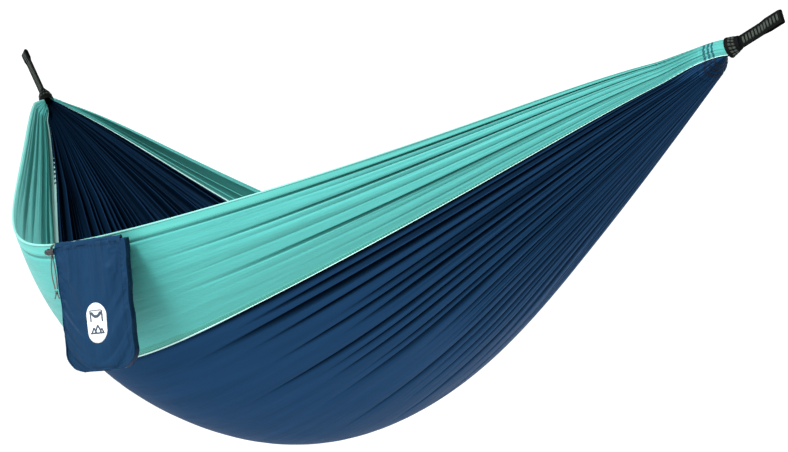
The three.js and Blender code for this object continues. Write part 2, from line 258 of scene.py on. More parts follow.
def stitches_piece(name, centres, ahead, outward, length, width, material):
    """One short round-ended thread at each centre, lying along ahead and raised outward."""
    ahead = ahead / np.linalg.norm(ahead, axis=1, keepdims=True)
    outward = outward - ahead * (outward * ahead).sum(1, keepdims=True)
    outward /= np.linalg.norm(outward, axis=1, keepdims=True)
    sideways = np.cross(ahead, outward)
    sides = STITCH_SIDES
    local = []
    for place, size in STITCH_STATIONS:
        for k in range(sides):
            angle = 2 * math.pi * k / sides
            local.append((place * length, size * width / 2 * math.cos(angle),
                          size * width / 2 * math.sin(angle) * STITCH_HEIGHT))
    local = np.array(local)
    points = (centres[:, None] + ahead[:, None] * local[None, :, :1]
              + sideways[:, None] * local[None, :, 1:2] + outward[:, None] * local[None, :, 2:])
    count = len(local)
    one = grid_faces(len(STITCH_STATIONS), sides, wrap=True)
    one += [list(range(sides))[::-1], list(range(count - sides, count))]
    faces = [[v + count * i for v in face] for i in range(len(centres)) for face in one]
    piece = link_mesh(name, points.reshape(-1, 3), faces, material)
    face_outwards(piece)
    return piece


# ---- Materials ----
class Shader:
    """A Principled material and short calls to add nodes to it."""

    def __init__(self, name, **settings):
        self.material = bpy.data.materials.new(name)
        self.material.use_nodes = True
        self.tree = self.material.node_tree
        self.surface = self.tree.nodes["Principled BSDF"]
        for label, value in settings.items():
            self.surface.inputs[label.replace("_", " ")].default_value = value

    def add(self, kind, values=None, **properties):
        node = self.tree.nodes.new(kind)
        for key, value in properties.items():
            setattr(node, key, value)
        for label, value in (values or {}).items():
            if isinstance(value, bpy.types.NodeSocket):
                self.tree.links.new(value, node.inputs[label])
            else:
                node.inputs[label].default_value = value
        return node

    def coordinates(self, scale=(1, 1, 1), output="UV"):
        place = self.add("ShaderNodeTexCoord").outputs[output]
        return self.add("ShaderNodeMapping", {"Vector": place, "Scale": scale}).outputs["Vector"]

    def noise(self, vector, scale, detail=3.0, roughness=0.5):
        values = {"Vector": vector, "Scale": scale, "Detail": detail, "Roughness": roughness}
        return self.add("ShaderNodeTexNoise", values).outputs["Fac"]

    def weave(self, vector, pitch):
        """Threads over and under each other, pitch apart."""
        bands = []
        for direction in ("X", "Y"):
            values = {"Vector": vector, "Scale": 0.31416 / pitch / 2, "Distortion": 0.0}
            wave = self.add("ShaderNodeTexWave", values, bands_direction=direction)
            bands.append(wave.outputs["Fac"])
        return self.math("MULTIPLY", bands[0], bands[1])

    def math(self, operation, first, second):
        return self.add("ShaderNodeMath", {0: first, 1: second}, operation=operation).outputs[0]

    def ramp(self, factor, low, high, start=0.35, end=0.65):
        node = self.add("ShaderNodeValToRGB", {"Fac": factor})
        node.color_ramp.elements[0].position = start
        node.color_ramp.elements[0].color = (*low, 1)
        node.color_ramp.elements[1].position = end
        node.color_ramp.elements[1].color = (*high, 1)
        return node.outputs["Color"]

    def colour(self, socket):
        self.tree.links.new(socket, self.surface.inputs["Base Color"])

    def roughness(self, factor, low, high):
        values = {"Value": factor, "To Min": low, "To Max": high}
        node = self.add("ShaderNodeMapRange", values)
        self.tree.links.new(node.outputs["Result"], self.surface.inputs["Roughness"])

    def bump(self, height, distance, strength=1.0):
        """Adds a bump on top of the ones already there."""
        into = self.surface.inputs["Normal"]
        values = {"Height": height, "Distance": distance, "Strength": strength}
        if into.links:
            values["Normal"] = into.links[0].from_socket
        self.tree.links.new(self.add("ShaderNodeBump", values).outputs["Normal"], into)


FOLD_SHADE_REACH = 0.12          # how far away cloth can be and still deepen the painted shade in a fold
FOLD_SHADE_SAMPLES = 6
FOLD_SHADE_CURVE = 2.3
WEAVE_PITCH = 0.0009


def scaled(colour, factor):
    return tuple(c * factor for c in colour)


def nylon(name, colour, streaks=1.0, sheen=0.1, shine=0.2, shade=0.2, output="UV"):
    """Thin parachute cloth: a fine plain weave, a soft sheen, and slight creases along its length.
    Deep in its folds its colour is darkened, by at most the share called shade: painted shade, from an
    ambient-occlusion factor."""
    shader = Shader(name, IOR=1.5, Specular_IOR_Level=shine, Sheen_Weight=sheen, Sheen_Roughness=0.45)
    shader.surface.inputs["Sheen Tint"].default_value = (*(0.25 + 0.75 * c for c in colour), 1)
    long_way = shader.coordinates((3, 42, 42), output)
    all_ways = shader.coordinates((1, 1, 1), output)
    tone = shader.noise(long_way, 1.0, 4.0, 0.55)
    tint = shader.ramp(tone, scaled(colour, 0.86), scaled(colour, 1.12), 0.25, 0.75)
    # Painted shade: how open the cloth is round a point darkens its base colour deep in the folds.
    painted_shade_openness = shader.add("ShaderNodeAmbientOcclusion", {"Distance": FOLD_SHADE_REACH},
                            samples=FOLD_SHADE_SAMPLES)
    depth = shader.math("POWER", painted_shade_openness.outputs["AO"], FOLD_SHADE_CURVE)
    depth = shader.add("ShaderNodeMapRange", {"Value": depth, "To Min": 1 - shade, "To Max": 1.0})
    mixed = {"Vector": tint, "Scale": depth.outputs["Result"]}
    shader.colour(shader.add("ShaderNodeVectorMath", mixed, operation="SCALE").outputs["Vector"])
    shader.roughness(shader.noise(all_ways, 9.0, 2.0), 0.42, 0.6)
    shader.bump(shader.noise(shader.coordinates((2.2, 30, 30), output), 1.0, 3.0, 0.6), 0.003 * streaks)
    shader.bump(shader.noise(all_ways, 38.0, 4.0, 0.6), 0.0007 * streaks)
    shader.bump(shader.weave(all_ways, WEAVE_PITCH), 0.00006)
    return shader.material


def thread_material(name, colour):
    shader = Shader(name, Sheen_Weight=0.03, Specular_IOR_Level=0.15)
    fine = shader.noise(shader.coordinates(output="Object"), 900.0, 2.0)
    shader.colour(shader.ramp(fine, scaled(colour, 0.75), scaled(colour, 1.2)))
    shader.roughness(fine, 0.55, 0.75)
    shader.bump(fine, 0.00015)
    return shader.material


def webbing_material(name, colour):
    """Heavy woven strap: uv is metres along and across."""
    shader = Shader(name, Specular_IOR_Level=0.05)
    place = shader.coordinates()
    tone = shader.noise(place, 350.0, 3.0)
    shader.colour(shader.ramp(tone, scaled(colour, 0.7), scaled(colour, 1.7)))
    shader.roughness(tone, 0.5, 0.7)
    shader.bump(shader.weave(place, 0.0011), 0.0003)
    shader.bump(tone, 0.00012)
    return shader.material


def cord_material(name, dark, light):
    """Braided cord: two sets of strands wound opposite ways; uv is metres along and round."""
    shader = Shader(name, Sheen_Weight=0.2)
    place = shader.coordinates()
    strands = []
    for lean in (1, -1):
        turned = shader.add("ShaderNodeMapping", {"Vector": place, "Rotation": (0, 0, lean * 0.9)})
        values = {"Vector": turned.outputs["Vector"], "Scale": 320.0, "Distortion": 0.0}
        strands.append(shader.add("ShaderNodeTexWave", values).outputs["Fac"])
    braid = shader.math("MAXIMUM", *strands)
    shader.colour(shader.ramp(braid, dark, light, 0.3, 0.95))
    shader.roughness(braid, 0.75, 0.5)
    shader.bump(braid, 0.00022)
    return shader.material


def plastic_material(name, colour):
    """Moulded nylon: a fine spark-eroded grain."""
    shader = Shader(name, Specular_IOR_Level=0.5)
    place = shader.coordinates(output="Object")
    grain = shader.noise(place, 2600.0, 3.0)
    shader.colour(shader.ramp(shader.noise(place, 120.0), scaled(colour, 0.8), scaled(colour, 1.4)))
    shader.roughness(grain, 0.34, 0.5)
    shader.bump(grain, 0.00006)
    return shader.material


def steel_material(name):
    shader = Shader(name, Metallic=1.0)
    place = shader.coordinates(output="Object")
    tone = shader.noise(place, 700.0, 3.0)
    shader.colour(shader.ramp(tone, (0.42, 0.43, 0.45), (0.62, 0.63, 0.65)))
    shader.roughness(tone, 0.22, 0.4)
    return shader.material


def label_material(name, colour):
    """Woven label: close ribs across it."""
    shader = Shader(name, Sheen_Weight=0.15)
    place = shader.coordinates(output="Object")
    tone = shader.noise(place, 260.0, 3.0)
    shader.colour(shader.ramp(tone, scaled(colour, 0.93), scaled(colour, 1.03)))
    shader.roughness(tone, 0.55, 0.7)
    shader.bump(shader.weave(place, 0.0007), 0.0001)
    return shader.material


TURQUOISE = (0.062, 0.335, 0.310)
NAVY = (0.0086, 0.0385, 0.096)
# Every nylon below gets painted shade in its folds; the navy's, at 0.95, is the strongest.
turquoise_cloth = nylon("turquoise_cloth", TURQUOISE)
navy_cloth = nylon("navy_cloth", NAVY, 0.8, 0.0, 0.01, 0.95)
seam_cloth = nylon("seam_tape", (0.075, 0.35, 0.29), 0.4)
# Pale turquoise along the seams' raised ridges: painted highlight.
seam_highlight_cloth = nylon("seam_bead_highlight", (0.48, 0.74, 0.70), 0.4)
# Paler turquoise along the hems' top edges: painted highlight.
hem_highlight_cloth = nylon("hem_edge_highlight", (0.17, 0.46, 0.42), 0.4)
hem_cloth = nylon("hem_cloth", (0.078, 0.385, 0.345), 0.4)
sack_cloth = nylon("sack_cloth", (0.0043, 0.0265, 0.066), 1.6, 0.02, 0.06)
# A darker copy of the sack's cloth for its side gusset: painted shade on the side that faces away from the
# light.
sack_side_painted_shade_cloth = nylon("sack_side_painted_shade_cloth", (0.0040, 0.018, 0.046), 0.8, 0.02, 0.06)
turquoise_thread = thread_material("turquoise_thread", (0.035, 0.24, 0.20))
navy_thread = thread_material("navy_thread", (0.003, 0.012, 0.033))
row_thread = thread_material("channel_thread", (0.012, 0.075, 0.11))
webbing_black = webbing_material("webbing", (0.0012, 0.0015, 0.0015))
webbing_thread = thread_material("webbing_thread", (0.045, 0.058, 0.048))
cord_braid = cord_material("drawcord", (0.012, 0.018, 0.016), (0.10, 0.12, 0.10))
black_plastic = plastic_material("black_plastic", (0.012, 0.012, 0.014))
spring_steel = steel_material("spring_steel")
label_white = label_material("label", (0.64, 0.67, 0.69))
label_print = thread_material("label_print", (0.045, 0.06, 0.085))


# ---- Stuff sack frame and its cords ----
def turned(axis, degrees):
    return Matrix.Rotation(math.radians(degrees), 4, axis)


SACK_PLACE = Matrix.Translation((0.154, -0.52106, -0.34488)) @ (
    turned("Z", 19.3) @ turned("Y", -8.5) @ turned("X", 5))
SACK_TURN = np.array(SACK_PLACE.to_3x3())
SACK_ORIGIN = np.array(SACK_PLACE.translation)


def from_sack(points):
    """From the sack's own frame, X along the hem, Y into the hammock and Z up, to the row frame."""
    return np.asarray(points, float) @ SACK_TURN.T + SACK_ORIGIN


def smooth_path(points, steps=6):
    """A Catmull-Rom curve through the points."""
    points = np.asarray(points, float)
    padded = np.concatenate([[2 * points[0] - points[1]], points, [2 * points[-1] - points[-2]]])
    share = np.linspace(0, 1, steps, endpoint=False)[:, None]
    made = []
    for a, b, c, d in zip(padded, padded[1:], padded[2:], padded[3:]):
        made.append(0.5 * (2 * b + (c - a) * share + (2 * a - 5 * b + 4 * c - d) * share ** 2
                           + (3 * b - 3 * c + d - a) * share ** 3))
    return np.concatenate([*made, points[-1:]])


TO_LOCK = [(-0.0735, -0.005), (-0.076, -0.005), (-0.0788, -0.0052), (-0.0816, -0.0061),
           (-0.0839, -0.0078), (-0.0852, -0.0102), (-0.0855, -0.013), (-0.0855, -0.017),
           (-0.0855, -0.021)]
BELOW_LOCK = {
    "front": [(-0.0856, -0.025), (-0.0862, -0.031), (-0.0873, -0.039), (-0.0881, -0.048),
              (-0.088, -0.057), (-0.087, -0.066), (-0.0853, -0.074), (-0.0841, -0.080),
              (-0.084, -0.0822)],
    "back": [(-0.0854, -0.025), (-0.0849, -0.031), (-0.0837, -0.039), (-0.0826, -0.048),
             (-0.0819, -0.057), (-0.0815, -0.066), (-0.0813, -0.074), (-0.0811, -0.080),
             (-0.081, -0.0822)],
}


def strand_path(strand):
    y = CORD["y"] + (-CORD["spread"] if strand == "front" else CORD["spread"])
    return from_sack(smooth_path([(x, y, z) for x, z in TO_LOCK + BELOW_LOCK[strand]]))


def add_strand(strand):
    path = strand_path(strand)
    rings, uv = tube_rings(path, CORD["radius"], 14, SACK_TURN[:, 1])
    piece = tube_piece(f"{strand}_cord_strand", rings, uv, cord_braid)
    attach(piece, "sack")
    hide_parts(f"drawcord_{strand}_strand")
    return piece, path


def knot_line():
    """A closed trefoil, stretched to the knot's size."""
    angle = full_turn(90)
    x = np.sin(angle) + 2 * np.sin(2 * angle)
    y = -np.sin(3 * angle)
    z = np.cos(angle) - 2 * np.cos(2 * angle)
    shape = np.stack([x / 3 * 0.72, y * 0.55, z / 3 * 0.72], axis=1)
    size = np.array([KNOT["radius"], KNOT["radius"], KNOT["half_height"]])
    return shape * size + (KNOT["x"], CORD["y"], KNOT["z"])


MELTED_END = (0.00145, 0.0009)   # the tails' last two radii: a bead and its tip


def add_knot():
    """The tied knot, its two tails and their melted ends, as one piece."""
    line = knot_line()
    vertices = []
    faces = []
    uvs = []

    def take(rings, uv, join):
        base = len(vertices)
        vertices.extend(rings.reshape(-1, 3))
        uvs.extend(uv.reshape(-1, 2))
        faces.extend([[v + base for v in face] for face in join(*rings.shape[:2])])

    angle = full_turn(12)
    ahead = np.roll(line, -1, axis=0) - np.roll(line, 1, axis=0)
    ahead /= np.linalg.norm(ahead, axis=1, keepdims=True)
    out = line - line.mean(0)
    out -= ahead * (out * ahead).sum(1, keepdims=True)
    out /= np.linalg.norm(out, axis=1, keepdims=True)
    rings = line[:, None] + KNOT["cord"] * ring_directions(out, np.cross(ahead, out), angle)
    along = np.linspace(0, KNOT["length"], len(line))
    take(from_sack(rings), pair_up(along[:, None], (angle * CORD["radius"])[None, :]), loop_faces)
    for lean, y in ((-1, -0.0006), (1, 0.0008)):
        start = np.array([KNOT["x"] + lean * 0.0012, CORD["y"] + y, KNOT["z"] - 0.003])
        steps = np.linspace(0, 1, 9)[:, None]
        tail = start + steps * (lean * 0.0016, y, -0.0085) + steps ** 2 * (lean * 0.0012, 0, 0)
        width = np.full(len(tail), CORD["radius"])
        width[-2:] = MELTED_END
        tail_rings, tail_uv = tube_rings(from_sack(tail), width, 12, SACK_TURN[:, 1])
        take(tail_rings, tail_uv, capped_faces)
    piece = link_mesh("tied_knot", vertices, faces, cord_braid, uvs)
    face_outwards(piece)
    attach(piece, "sack")
    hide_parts("drawcord_knot")
    return piece


def add_hidden_cord():
    ends = [(-SLEEVE["half_length"] + 0.0005, CORD["y"], CORD["z"]),
            (SLEEVE["half_length"] - 0.002, CORD["y"], CORD["z"])]
    path = from_sack(np.linspace(*ends, 40))
    rings, uv = tube_rings(path, CORD["radius"], 10)
    piece = tube_piece("cord_in_sleeve", rings, uv, cord_braid)
    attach(piece, "sack")
    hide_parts("drawcord_in_sleeve")


# ---- Cord lock ----
def lathe(name, profile, material, sides=48):
    """Turns (place along the sack's X, radius) pairs about the cord lock's axis."""
    profile = np.asarray(profile, float)
    angle = full_turn(sides)
    x = np.broadcast_to(profile[:, :1], (len(profile), sides))
    y = CORD["y"] + profile[:, 1:] * np.cos(angle)[None]
    z = LOCK["z"] + profile[:, 1:] * np.sin(angle)[None]
    points = from_sack(np.stack([x, y, z], axis=-1).reshape(-1, 3))
    faces = grid_faces(len(profile), sides, wrap=True)
    piece = link_mesh(name, points, faces, material)
    edit_mesh(piece, lambda work: bmesh.ops.remove_doubles(work, verts=work.verts, dist=1e-6))
    face_outwards(piece)
    return piece


def rounded(points, radius, steps=4):
    """Rounds the inner corners of an open outline, with arcs through quadratic curves."""
    points = [np.array(p, float) for p in points]
    made = [points[0]]
    for before, corner, after in zip(points, points[1:], points[2:]):
        room = min(radius, np.linalg.norm(before - corner) / 2, np.linalg.norm(after - corner) / 2)
        start = corner + (before - corner) / np.linalg.norm(before - corner) * room
        end = corner + (after - corner) / np.linalg.norm(after - corner) * room
        for share in np.linspace(0, 1, steps + 1):
            made.append(start * (1 - share) ** 2 + corner * 2 * share * (1 - share) + end * share ** 2)
    made.append(points[-1])
    return made


CUT_ROUND = 0.0006               # how far the edges of a cut are rounded


def cut(piece, low, high):
    """Cuts a box, in the sack's frame, out of a piece, and applies the cut."""
    corners = [(x, y, z) for x in (low[0], high[0]) for y in (low[1], high[1]) for z in (low[2], high[2])]
    faces = [(0, 1, 3, 2), (4, 6, 7, 5), (0, 4, 5, 1), (2, 3, 7, 6), (0, 2, 6, 4), (1, 5, 7, 3)]
    cutter = link_mesh("cutter", from_sack(corners), faces, black_plastic, smooth=False)
    face_outwards(cutter)
    edit_mesh(cutter, lambda work: bmesh.ops.bevel(work, geom=work.edges[:], offset=CUT_ROUND,
                                                   segments=2, affect="EDGES"))
    boolean = piece.modifiers.new("cut", "BOOLEAN")
    boolean.operation = "DIFFERENCE"
    boolean.object = cutter
    apply_modifiers(piece)
    bpy.data.objects.remove(cutter)


def apply_modifiers(piece):
    graph = bpy.context.evaluated_depsgraph_get()
    graph.update()
    made = bpy.data.meshes.new_from_object(piece.evaluated_get(graph))
    piece.modifiers.clear()
    piece.data = made


def lock_slot(piece, left, right):
    depth = LOCK["hole_half_depth"]
    reach = 2 * LOCK["radius"]
    cut(piece, (left, CORD["y"] - depth, LOCK["z"] - reach), (right, CORD["y"] + depth, LOCK["z"] + reach))


def add_barrel():
    left, right, radius = LOCK["left"], LOCK["right"], LOCK["radius"]
    grips = []
    for k in range(4):
        place = right - 0.0030 + k * 0.0006
        grips += [(place, radius - 0.00045), (place + 0.0003, radius - 0.00005)]
    outline = [(left, LOCK["bore"]), (left, radius), (left + 0.0016, radius),
               (left + 0.0022, radius - 0.0005), (right - 0.0036, radius - 0.0005)]
    outline += grips + [(right, radius - 0.0002), (right, 0)]
    inside = [(right - LOCK["floor"], 0), (right - LOCK["floor"], LOCK["bore"]), (left, LOCK["bore"])]
    profile = rounded(outline, 0.0004) + rounded(inside, 0.0003)
    piece = lathe("lock_barrel", profile, black_plastic)
    half = LOCK["hole_half_length"]
    lock_slot(piece, LOCK["hole"] - half, LOCK["hole"] + half)
    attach(piece, "cord_lock")
    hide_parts("cord_lock_barrel")
    return piece


def add_button():
    left, right, radius = BUTTON["left"], BUTTON["right"], BUTTON["radius"]
    outline = [(left + 0.0003, 0), (left + 0.0003, 0.0016), (left, 0.0020), (left, radius),
               (right, radius), (right, 0)]
    piece = lathe("lock_button", rounded(outline, 0.0006), black_plastic)
    slot_left = LOCK["hole"] - CORD["radius"] - 0.0003 - BUTTON["travel"]
    lock_slot(piece, slot_left, right - BUTTON["wall"])
    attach(piece, "lock_button")
    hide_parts("cord_lock_button")
    return piece


SPRING = {"turns": 2, "radius": 0.0026, "wire": 0.00028, "gap": 0.0006}


def add_spring():
    share = np.linspace(0, 1, 60)
    left = BUTTON["right"] + SPRING["gap"]
    right = LOCK["right"] - LOCK["floor"] - SPRING["gap"]
    angle = share * SPRING["turns"] * 2 * math.pi
    line = np.stack([left + (right - left) * share, CORD["y"] + SPRING["radius"] * np.cos(angle),
                     LOCK["z"] + SPRING["radius"] * np.sin(angle)], axis=1)
    rings, uv = tube_rings(from_sack(line), SPRING["wire"], 8, SACK_TURN[:, 0])
    piece = tube_piece("lock_spring", rings, uv, spring_steel)
    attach(piece, "cord_lock")
    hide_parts("cord_lock_spring")
    return piece


def add_cords():
    strands = {strand: add_strand(strand) for strand in ("front", "back")}
    knot = add_knot()
    on_cord = [add_barrel(), add_button(), add_spring(), knot]
    add_hidden_cord()


add_cords()


# ---- The hanging cloth ----
def smooth_step(value, low, high):
    share = np.clip((value - low) / (high - low), 0, 1)
    return share * share * (3 - 2 * share)


def sag_share(u):
    top = math.hypot(1, BELLY_SHARPNESS)
    return (top - np.hypot(np.minimum(np.abs(u), 1), BELLY_SHARPNESS)) / (top - BELLY_SHARPNESS)


def far_seam(u):
    settled = FAR_SEAM_ENDS + np.where(u > 0, 0.02, 0.0)
    return FAR_SEAM_MIDDLE + (settled - FAR_SEAM_MIDDLE) * smooth_step(np.abs(u), 0.08, 0.5)


def near_seam(u):
    """The near panel spreads a little towards the left end."""
    return NEAR_SEAM + 0.26 * (np.maximum(-u, 0) / 0.9) ** 4.5


def place_across(u, w):
    """Where the cloth's own line w lies on the section, and how closely the cloth is packed there."""
    near = near_seam(u)
    far = far_seam(u)
    near_pack = (near + 1) / (NEAR_SEAM + 1)
    centre_pack = (far - near) / (FAR_SEAM_MIDDLE - NEAR_SEAM)
    far_pack = (1 - far) / (1 - FAR_SEAM_MIDDLE)
    before = -1 + (w + 1) * near_pack
    centre = near + (w - NEAR_SEAM) * centre_pack
    beyond = far + (w - FAR_SEAM_MIDDLE) * far_pack
    place = np.where(w < NEAR_SEAM, before, np.where(w < FAR_SEAM_MIDDLE, centre, beyond))
    at_near = smooth_step(w, NEAR_SEAM - 0.05, NEAR_SEAM + 0.05)
    at_far = smooth_step(w, FAR_SEAM_MIDDLE - 0.05, FAR_SEAM_MIDDLE + 0.05)
    pack = near_pack + (centre_pack - near_pack) * at_near + (far_pack - centre_pack) * at_far
    return place, pack


# Where lines of the cloth end up round the gathered bundle, in degrees from straight down,
# and how far out they lie, as a share of the bundle's radius. The bundle is pressed flat.
GATHER = {
    "right": {"lines": (-1, NEAR_SEAM, -0.4, FAR_SEAM_MIDDLE, 1), "angles": (-165, -25, -5, 115, 165),
              "shares": (1, 1, 0.97, 1, 1)},
    "left": {"lines": (-1, -0.8, NEAR_SEAM, -0.3, 0.2, FAR_SEAM_MIDDLE, 1),
             "angles": (-105, -75, -25, 20, 70, 130, 165), "shares": (1, 1, 1, 1, 1, 1, 1)},
}
# Where along the hammock the cloth starts to close up into the bundle: the near panel, then the rest.
GATHER_FROM = {"right": (0.92, 0.957), "left": (0.925, 0.95)}
GATHER_DONE = {"right": 1.0, "left": 0.989}
PRESSED = {"left": 1.0, "right": 0.62}
GATHERED_RADIUS = BUNDLE_RADIUS - 0.0035
BUNDLE_LIFT = 0.002              # the cloth sits a little above the strap's middle line
APPROACH = {"left": math.tan(ELEVATION["left"]), "right": 0.0}   # slope of the gathered cloth there
COLLAR_DROP = 0.0165             # how far along the hammock that slope goes
CREASE_COUNT = 46                # creases across the whole cloth at each end


def crease_lines():
    """Lines of the cloth where it creases: even, with a little scatter."""
    even = (np.arange(CREASE_COUNT) + 0.5) / CREASE_COUNT * 2 - 1
    return even + rng.uniform(-0.3, 0.3, CREASE_COUNT) * 2 / CREASE_COUNT


def crease_level(lines, spacing, starts, rise, depths):
    """One set of creases for one end: where each starts on the way there, how wide it is on both
    sides of its line, and how deep it gets."""
    count = len(lines)
    return {
        "lines": lines,
        "before": spacing * rng.uniform(0.1, 0.24, count),
        "after": spacing * rng.uniform(0.1, 0.24, count),
        "spread": rng.uniform(1.0, 1.6, count),
        "starts": rng.uniform(*starts, count),
        "rise": rise,
        "depths": rng.uniform(*depths, count),
        "spacing": spacing,
    }


MAIN_LINES = crease_lines()
FINE_LINES = np.concatenate([
    MAIN_LINES[:-1] + np.diff(MAIN_LINES) * rng.choice((0.25, 1 / 3, 5 / 12), CREASE_COUNT - 1),
    MAIN_LINES[:-1] + np.diff(MAIN_LINES) * rng.choice((7 / 12, 2 / 3, 0.75), CREASE_COUNT - 1),
])
RIDGE_ROUND = 0.3                # how much each ridge is crowned, as a share of the creases' spacing
MAIN_STARTS = {-1: (0.0, 0.25), 1: (0.1, 0.45)}
MAIN_DEPTHS = {-1: (0.1, 1.9), 1: (0.5, 1.3)}
FINE_STARTS = (0.3, 0.7)
FINE_DEPTHS = {-1: (0.0, 0.3), 1: (0.1, 0.6)}
CREASES = {
    side: [
        crease_level(MAIN_LINES, 2 / CREASE_COUNT, MAIN_STARTS[side], 0.3, MAIN_DEPTHS[side]),
        crease_level(FINE_LINES, 1.0 / CREASE_COUNT, FINE_STARTS, 0.25, FINE_DEPTHS[side]),
    ]
    for side in (-1, 1)
}


# The near panel's slack lies in three narrow tucks: their lines, widths and shares of the slack.
TUCKS = ((-0.958, 0.006, 0.2), (-0.885, 0.007, 0.35), (-0.765, 0.009, 0.45))
NEAR_FLAT = 0.2                  # how much width of the section the near panel fills when it lies flat
NEAR_CALM = {"left": 0.45, "right": 0.14}   # the share of their depth that its creases have
CENTRE_SHARP = 1.15              # and that the centre panel's creases have


def tucks(u, w, metres_per_w):
    """Narrow folds inwards along the near panel on the right, as deep as its slack."""
    width = (NEAR_SEAM + 1 - HEM_SHARE) * metres_per_w
    deep = np.maximum(NEAR_FLAT - width, 0) / 2 * smooth_step(u, 0.05, 0.5) * (1 - smooth_step(u, 0.9, 0.99))
    return -sum(deep * share * np.clip(1 - np.abs(w - line) / half, 0, 1) for line, half, share in TUCKS)


def fold(u, w, metres_per_w):
    """How far the cloth stands out, negative in the creases. metres_per_w is its width on the
    section: the narrower that gets, the deeper the creases have to be to take up the cloth."""
    height = np.zeros(np.broadcast(u, w).shape)
    gathered = np.maximum(FLAT_HALF_WIDTH / metres_per_w, 1)
    slack = np.minimum(0.62 * np.sqrt(gathered ** 2 - 1) + 0.1, 1.3)
    calm = np.where(u < 0, NEAR_CALM["left"], NEAR_CALM["right"])
    sharp = np.where(w < FAR_SEAM_MIDDLE, CENTRE_SHARP, 1.0)
    slack = slack * np.where(w < NEAR_SEAM, calm, sharp)
    for side, levels in CREASES.items():
        reach = np.maximum(side * u, 0)
        for level in levels:
            size = level["spacing"] * metres_per_w
            for k, line in enumerate(level["lines"]):
                gap = w - line
                start = level["starts"][k]
                grown = smooth_step(reach, start, start + level["rise"])
                width = np.where(gap < 0, level["before"][k], level["after"][k])
                width = width * (1 + (level["spread"][k] - 1) * grown)
                near = np.clip(1 - np.abs(gap) / width, 0, 1)
                crown = np.clip(1 - np.abs(gap) / (0.6 * level["spacing"]), 0, 1) ** 2
                height -= (level["depths"][k] * near ** 1.3 + RIDGE_ROUND * crown) * grown * size * slack
    return height


def edge_groove(u, w):
    """The cloth dips beside each hem, and a little beside each seam."""
    dip = np.zeros(np.broadcast(u, w).shape)
    grow = 1 + 1.5 * smooth_step(np.abs(u), 0.2, 0.7)
    for line, width, depth in ((-1 + HEM_SHARE + 0.006, 0.0075, 0.0034),
                               (1 - HEM_SHARE - 0.006, 0.0075, 0.0034),
                               (NEAR_SEAM + 0.006, 0.007, 0.0022)):
        dip -= depth * grow * np.clip(1 - np.abs(w - line) / width, 0, 1) ** 1.3
    return dip * (1 - smooth_step(np.abs(u), 0.85, 0.97))


def belly_ripple(u, w):
    """Slack in the middle of the cloth: a few broad shallow waves."""
    calm = 1 - smooth_step(np.abs(u), 0.25, 0.75)
    waves = np.sin(5.1 * w + 1.3 * u) * 0.0022 + np.sin(9.7 * w - 4.0 * u + 1.1) * 0.0014
    return calm * waves


def far_pocket(u, w, metres_per_w):
    """The far panel is slack: it folds along its length, outwards on the left and inwards on the
    right, as deep as it takes to use up its cloth."""
    middle = (w - 0.83) / 0.12
    shape = np.clip(1 - middle ** 2, 0, 1) ** 1.5
    width = (1 - FAR_SEAM_MIDDLE) * metres_per_w
    deep = 0.4 * np.sqrt(np.maximum(0.2 ** 2 - width ** 2, 0))
    ends = smooth_step(np.abs(u), 0.02, 0.3) * (1 - smooth_step(np.abs(u), 0.8, 0.98))
    return np.where(u < 0, deep, -deep) * shape * ends


def cloth(u, w, lift=0.0):
    """The point at u along the hammock and line w across it, lifted outwards. |u| may pass 1 a
    little: that stretch is inside the webbing collar."""
    u, w = np.broadcast_arrays(np.asarray(u, float), np.asarray(w, float))
    inside = np.clip(u, -1, 1)
    t, pack = place_across(inside, w)
    depth = BELLY_DEPTH + (RIM_DEPTH - BELLY_DEPTH) * np.abs(t) ** DEPTH_BLEND
    radius = depth * sag_share(inside) + BUNDLE_RADIUS
    edge = RIM_ANGLE + (BUNDLE_ANGLE - RIM_ANGLE) * inside ** 6
    wide = edge * radius * pack
    raised = fold(inside, w, wide) + far_pocket(inside, w, wide) + tucks(inside, w, wide)
    raised += belly_ripple(inside, w) + edge_groove(inside, w) + lift
    angle = t * edge
    from_near = np.where(u > 0, GATHER_FROM["right"][0], GATHER_FROM["left"][0])
    from_rest = np.where(u > 0, GATHER_FROM["right"][1], GATHER_FROM["left"][1])
    start = from_near + (from_rest - from_near) * smooth_step(w, -0.7, -0.35)
    done = np.where(u > 0, GATHER_DONE["right"], GATHER_DONE["left"])
    gathered = smooth_step(np.abs(u), start, done)
    y = (radius + raised) * np.sin(angle)
    z = -(radius + raised) * np.cos(angle)
    x = HALF_SPAN * inside
    up = np.zeros_like(x)
    for end, side in ENDS.items():
        table = GATHER[end]
        turn = np.radians(np.interp(w, table["lines"], table["angles"]))
        size = GATHERED_RADIUS * np.interp(w, table["lines"], table["shares"]) + raised
        here = side * u > 0
        centre = BUNDLE_LIFT - np.minimum((1 - np.abs(inside)) * HALF_SPAN, COLLAR_DROP) * APPROACH[end]
        y = np.where(here, y + (size * PRESSED[end] * np.sin(turn) - y) * gathered, y)
        z = np.where(here, z + (centre - size * np.cos(turn) - z) * gathered, z)
        tilt = ELEVATION[end] * smooth_step(np.abs(u), 0.95, 1.0)
        narrow = 1 - 0.2 * smooth_step(np.abs(u), 1.0, 1.012)
        beyond = np.maximum(side * u - 1, 0) * HALF_SPAN
        x = np.where(here, x + side * (beyond * np.cos(tilt) - z * narrow * np.sin(tilt)), x)
        up = np.where(here, beyond * np.sin(tilt) + z * narrow * np.cos(tilt) - z, up)
        y = np.where(here, y * narrow, y)
    return np.stack([x, y, z + up], axis=-1)


def outward(u, w):
    """The direction that lift moves a point."""
    step = cloth(u, w, 0.001) - cloth(u, w)
    return step / np.linalg.norm(step, axis=-1, keepdims=True)


def flat_uv(u, w):
    return pair_up(u * FLAT_HALF_LENGTH, w * FLAT_HALF_WIDTH)


END_U = 1.010                    # the cloth goes this far, into the collar
AFTER_GATHER = np.linspace(0.9, END_U, 17)[1:]
ALONG = np.concatenate([-AFTER_GATHER[::-1], np.linspace(-0.9, 0.9, 97), AFTER_GATHER])


